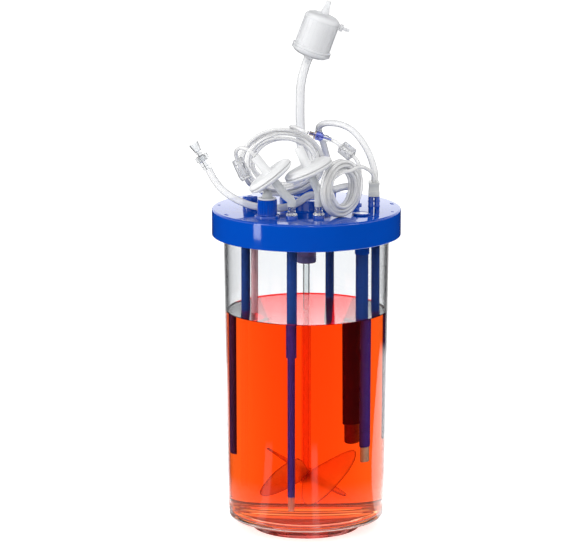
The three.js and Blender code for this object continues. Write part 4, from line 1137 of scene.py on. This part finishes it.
def makeRiser():
    s = capsuleSizes
    x, y = ports["exhaust"]
    start = lidTop + plateSizes["exhaustSeat"] + 3
    place = capsuleFrame()
    bottom = s["joint"] - s["baseDepth"]
    ends = [tuple(place @ point(0, 0, bottom - drop) / mm) for drop in (9, fit)]
    route = [(x, y, start + fit), (x, y, start + 8), *[(x + shift, y, lidTop + rise) for shift, rise in s["bends"]],
             *ends]
    hosePiece("exhaustHose", route, s["hoseRadius"], "silicone", "exhaust_hose")


makeCapsule()
makeRiser()
print("exhaust line made")


# small fittings on the tubing

def aimedAt(place, direction):
    turn = up.rotation_difference(Vector(direction).normalized()).to_matrix().to_4x4()
    return Matrix.Translation(point(*place)) @ turn


valveSizes = {"place": (2.8, -17.2, 406.2), "direction": (21.8, -2.7, -6.4)}


def makeCheckValve():
    bm = bmesh.new()
    spin(bm, [
        (0.8, 0), (1.8, 0), (2.2, 0.5), (2.2, 4.6), (3.4, 5), (4.3, 5.4), (4.4, 6.2), (4.4, 7), (4.6, 7.2),
        (4.6, 13), (3.2, 13.2), (3.2, 14.6), (3.0, 14.8), (3.0, 15.6), (3.2, 15.8), (3.2, 19.6), (2.2, 19.8),
        (2.2, 22.8), (0.8, 22.8),
    ], 40)
    cleaned(bm)
    for face in bm.faces:
        height = face.calc_center_median().z / mm
        face.material_index = 0 if height < 7.1 else 1 if height < 14.7 else 2
    bmesh.ops.transform(bm, verts=bm.verts, matrix=aimedAt(valveSizes["place"], valveSizes["direction"]))
    return madePiece("checkValve", bm, ["valveAmber", "valveViolet", "clearPart"], "check_valve")


clampSizes = {
    "height": 11,
    "depth": 8,
    "strip": 1.6,
    "jaw": 2.2,
    "left": {"place": (-64, -27, 371.5), "direction": (0.325, 0.44, -0.837), "length": 22},
    "right": {"place": (40, -28, 390), "direction": (5.6, -3.1, -4), "length": 15},
}


def makeClamp(side):  # one moulded loop with two jaws that nip the tube
    s = clampSizes
    own = s[side]
    tip = tubing["thinRadius"] + fit
    long, high = own["length"] / 2, s["height"] / 2
    end, wall = long - s["strip"], high - s["strip"]
    bm = bmesh.new()
    outer = [(long, -high), (long, high), (-long, high), (-long, -high)]
    inner = [(end, -wall), (end, wall), (s["jaw"], wall), (0, tip), (-s["jaw"], wall), (-end, wall), (-end, -wall),
             (-s["jaw"], -wall), (0, -tip), (s["jaw"], -wall)]
    rings = []
    for outline in (outer, inner):
        verts = [bm.verts.new((0, across * mm, along * mm)) for along, across in outline]
        rings += [bm.edges.new(pair) for pair in zip(verts, verts[1:] + verts[:1])]
    bmesh.ops.triangle_fill(bm, edges=rings, use_beauty=True, use_dissolve=True)
    extrudedFaces(bm, list(bm.faces), (s["depth"] * mm, 0, 0))
    bmesh.ops.translate(bm, verts=bm.verts, vec=(-s["depth"] / 2 * mm, 0, 0))
    cleaned(bm)
    corners = [e for e in bm.edges if abs(e.calc_length() - s["depth"] * mm) < 1e-5 and e.calc_face_angle(0) > 0.5]
    bevelled(bm, corners, 1.1, 4)
    bevelled(bm, [e for e in bm.edges if e.calc_face_angle(0) > 1.2], 0.3, 2)
    bmesh.ops.transform(bm, verts=bm.verts, matrix=aimedAt(own["place"], own["direction"]))
    return madePiece(side + "PinchClamp", bm, "clampClear", side + "_pinch_clamp")


luerSizes = {"place": (-97.6, -15, 370.1), "direction": (-0.5, 0, 0.866), "bore": 1.4}


def makeFeedLuer():
    s = luerSizes
    matrix = aimedAt(s["place"], s["direction"])
    bore = s["bore"]
    body = spunPiece("luerBody", [[
        (bore, 0), (4.3, 0), (4.6, 0.4), (4.75, 2.2), (4.55, 2.5), (4.6, 3.1), (4.95, 3.4), (5.3, 8), (5.2, 8.8),
        (4.6, 9.2), (2.6, 9.4), (2.6, 17), (bore, 17),
    ]], "clearPart", "feed_luer_body", steps=48, matrix=matrix)
    bm = bmesh.new()
    loop = bmesh.ops.create_circle(bm, cap_ends=False, segments=72, radius=6.3 * mm)["verts"]
    for i, vert in enumerate(loop):
        vert.co *= 1 + 0.06 * (i % 6 < 3)
    wallRing(bm, loop, 3.0, 9.8, 14.6)
    cleaned(bm, 0.3)
    bmesh.ops.transform(bm, verts=bm.verts, matrix=matrix)
    collar = madePiece("luerCollar", bm, "clearPart", "feed_luer_collar", body="feed_luer_collar",
                       smooth=30)
    cone = spunPiece("luerCone", [[
        (bore, 17.3), (2.9, 17.3), (3.2, 17.6), (3.4, 20.3), (3.7, 22), (4.3, 25), (4.75, 28), (4.9, 28.4),
        (4.9, 29), (4.4, 29), (4.1, 28.2), (3.3, 24.5), (2.4, 20.3), (bore, 20),
    ]], "clearPart", "feed_luer_cone", steps=48, matrix=matrix)
    return [body, collar, cone]


def makeGasConnector():
    low, high = (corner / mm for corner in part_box("gas_connector"))
    middle, size = (low + high) / 2, high - low
    bm = bmesh.new()
    made = bmesh.ops.create_cube(bm, size=1 * mm)
    bmesh.ops.scale(bm, verts=made["verts"], vec=size)
    for height in (-0.36, -0.12, 0.36):
        bmesh.ops.bisect_plane(bm, geom=bm.verts[:] + bm.edges[:] + bm.faces[:],
                               plane_co=(0, 0, height * size.z * mm), plane_no=(0, 0, 1))
    sides = [f for f in bm.faces if abs(f.normal.z) < 0.1 and abs(f.calc_center_median().z) < 0.3 * size.z * mm
             and f.calc_center_median().z > -0.1 * size.z * mm]
    bmesh.ops.inset_region(bm, faces=sides, thickness=0.01 * mm, depth=-0.5 * mm)
    cleaned(bm, 0.5, 3)
    bmesh.ops.translate(bm, verts=bm.verts, vec=middle * mm)
    madePiece("gasConnector", bm, "greyPlastic", "gas_connector", smooth=30)


checkValve = makeCheckValve()
leftClamp = makeClamp("left")
rightClamp = makeClamp("right")
luerPieces = makeFeedLuer()
makeGasConnector()
print("tubing fittings made")


# solids whose shape is right keep it and take a finish
for node, finish in (("drive_rotor", "greyPlastic"), ("lower_bush", "filterWhite"), ("upper_bush", "filterWhite"),
                     ("left_filter_membrane", "filterWhite"), ("right_filter_membrane", "filterWhite")):
    holder = bpy.data.objects[node]
    for slot in holder.material_slots:
        slot.material = finishes[finish]


# floor, lamps and world
studio = {
    "floorRadius": 14,
    "floorGlow": 0.6,
    "tableRadius": 0.15,
    "worldFill": 0.64,
    "bandTop": 0.42,
    "bandSoft": 0.15,
    "bandGlow": 1.85,
    "roofGlow": 0.12,
    "behindGlass": 1.08,
    "cardSoft": 1.5,
    "cards": [
        {"from": -56, "to": -44, "lean": 0, "reach": 0.36, "glow": 0.8},
        {"from": 6, "to": 15, "lean": 0, "reach": 0.36, "glow": 0.9},
        {"from": 84, "to": 150, "lean": 52, "reach": 0.8, "glow": 1.7},
    ],
    "topStrip": {"height": 1.7, "size": (1.1, 0.07), "power": 2.4},
    "lamps": [
        {"name": "leftStrip", "azimuth": -60, "distance": 1.6, "low": 0.0, "high": 1.6, "width": 0.3, "power": 13},
        {"name": "frontStrip", "azimuth": 6, "distance": 2.2, "low": 1.0, "high": 2.0, "width": 0.22, "power": 6.6},
        {"name": "rightStrip", "azimuth": 64, "distance": 1.8, "low": 0.9, "high": 1.9, "width": 0.22, "power": 6.6},
    ],
}


def rayKinds(tree):  # 1 for a ray seen straight or through clear walls, and 1 for a mirrored one
    path = newNode(tree, "LightPath").outputs
    clear = combined(tree, "MAXIMUM", path["Is Camera Ray"], path["Is Transmission Ray"])
    gloss = combined(tree, "MAXIMUM", path["Is Glossy Ray"], path["Is Transmission Ray"])
    bounced = combined(tree, "MINIMUM", path["Glossy Depth"], 1)
    scattered = combined(tree, "MINIMUM", path["Diffuse Depth"], 1)
    plain = combined(tree, "SUBTRACT", 1, scattered)
    straight = product(tree, clear, plain, combined(tree, "SUBTRACT", 1, bounced))
    return straight, product(tree, gloss, plain, bounced), path


def paleSector(tree, parts, reach, sector):  # a white card that lies on the floor, seen in gloss only
    turned = combined(tree, "ARCTAN2", parts["X"], product(tree, parts["Y"], -1))
    angle = combined(tree, "SUBTRACT", turned, product(tree, reach, math.radians(sector["lean"])))
    soft = math.radians(studio["cardSoft"])
    start, end = math.radians(sector["from"]), math.radians(sector["to"])
    near = ranged(tree, reach, sector["reach"] * 0.9, sector["reach"], sector["glow"], 0)
    return product(tree, ranged(tree, angle, start, start + soft), ranged(tree, angle, end - soft, end, 1, 0), near)


def makeFloor():
    bm = bmesh.new()
    bmesh.ops.create_circle(bm, cap_ends=True, segments=96, radius=studio["floorRadius"])
    mesh = bpy.data.meshes.new("studioFloor")
    bm.to_mesh(mesh)
    bm.free()
    tree, shader = newMaterial("studioFloor")
    place = objectPlace(tree)
    reach = newNode(tree, "VectorMath", {0: place}, operation="LENGTH").outputs["Value"]
    parts = newNode(tree, "SeparateXYZ", {"Vector": place}).outputs
    straight, mirrored, path = rayKinds(tree)
    beyond = ranged(tree, reach, studio["tableRadius"], studio["tableRadius"] * 1.5)
    dark = product(tree, mirrored, path["Is Glossy Ray"], beyond)
    cards = 0.0
    for sector in studio["cards"]:
        cards = combined(tree, "ADD", cards, paleSector(tree, parts, reach, sector))
    glow = combined(tree, "ADD", product(tree, straight, studio["floorGlow"]), product(tree, mirrored, cards))
    feed(tree, shader, {
        "Base Color": mixed(tree, dark, (0.9, 0.9, 0.9), (0.02, 0.02, 0.025)),
        "Roughness": 0.9,
        "Specular IOR Level": 0.0,
        "Emission Color": (1, 1, 1),
        "Emission Strength": glow,
    })
    mesh.materials.append(finishes["studioFloor"])
    placedObject("studioFloor", mesh)


def newLamp(name, size, power, place, aim):
    data = bpy.data.lights.new(name, "AREA")
    data.shape = "RECTANGLE"
    data.size, data.size_y = size
    data.energy = power
    holder = placedObject(name, data)
    holder.location = place
    holder.rotation_euler = (aim - place).to_track_quat("-Z", "Y").to_euler()
    holder.visible_camera = False
    holder.visible_transmission = False


def makeLamps():
    for lamp in studio["lamps"]:
        angle = math.radians(lamp["azimuth"])
        place = Vector((math.sin(angle) * lamp["distance"], -math.cos(angle) * lamp["distance"],
                        (lamp["low"] + lamp["high"]) / 2))
        newLamp(lamp["name"], (lamp["width"], lamp["high"] - lamp["low"]), lamp["power"], place, Vector((0, 0, 0.3)))
    top = studio["topStrip"]
    newLamp("topStrip", top["size"], top["power"], Vector((0, 0, top["height"])), Vector((0, 0, 0)))


def makeWorld():  # white behind the part, with a bright band low down that the flat lid mirrors
    world = bpy.data.worlds.new("studioWorld")
    world.use_nodes = True
    tree = world.node_tree
    place = newNode(tree, "TexCoord").outputs["Generated"]
    height = newNode(tree, "SeparateXYZ", {"Vector": place}).outputs["Z"]
    bandTop = studio["bandTop"]
    band = ranged(tree, height, bandTop, bandTop + studio["bandSoft"], studio["bandGlow"], studio["roofGlow"])
    straight, mirrored, path = rayKinds(tree)
    plain = mixed(tree, mirrored, studio["worldFill"], band, "FLOAT")
    behind = ranged(tree, path["Is Transmission Ray"], 0, 1, 1, studio["behindGlass"])
    feed(tree, tree.nodes["Background"], {"Color": (1, 1, 1), "Strength": mixed(tree, straight, plain, behind,
                                                                                "FLOAT")})
    bpy.context.scene.world = world


makeFloor()
makeLamps()
makeWorld()
bpy.context.scene.view_settings.view_transform = "Standard"
print("studio set")
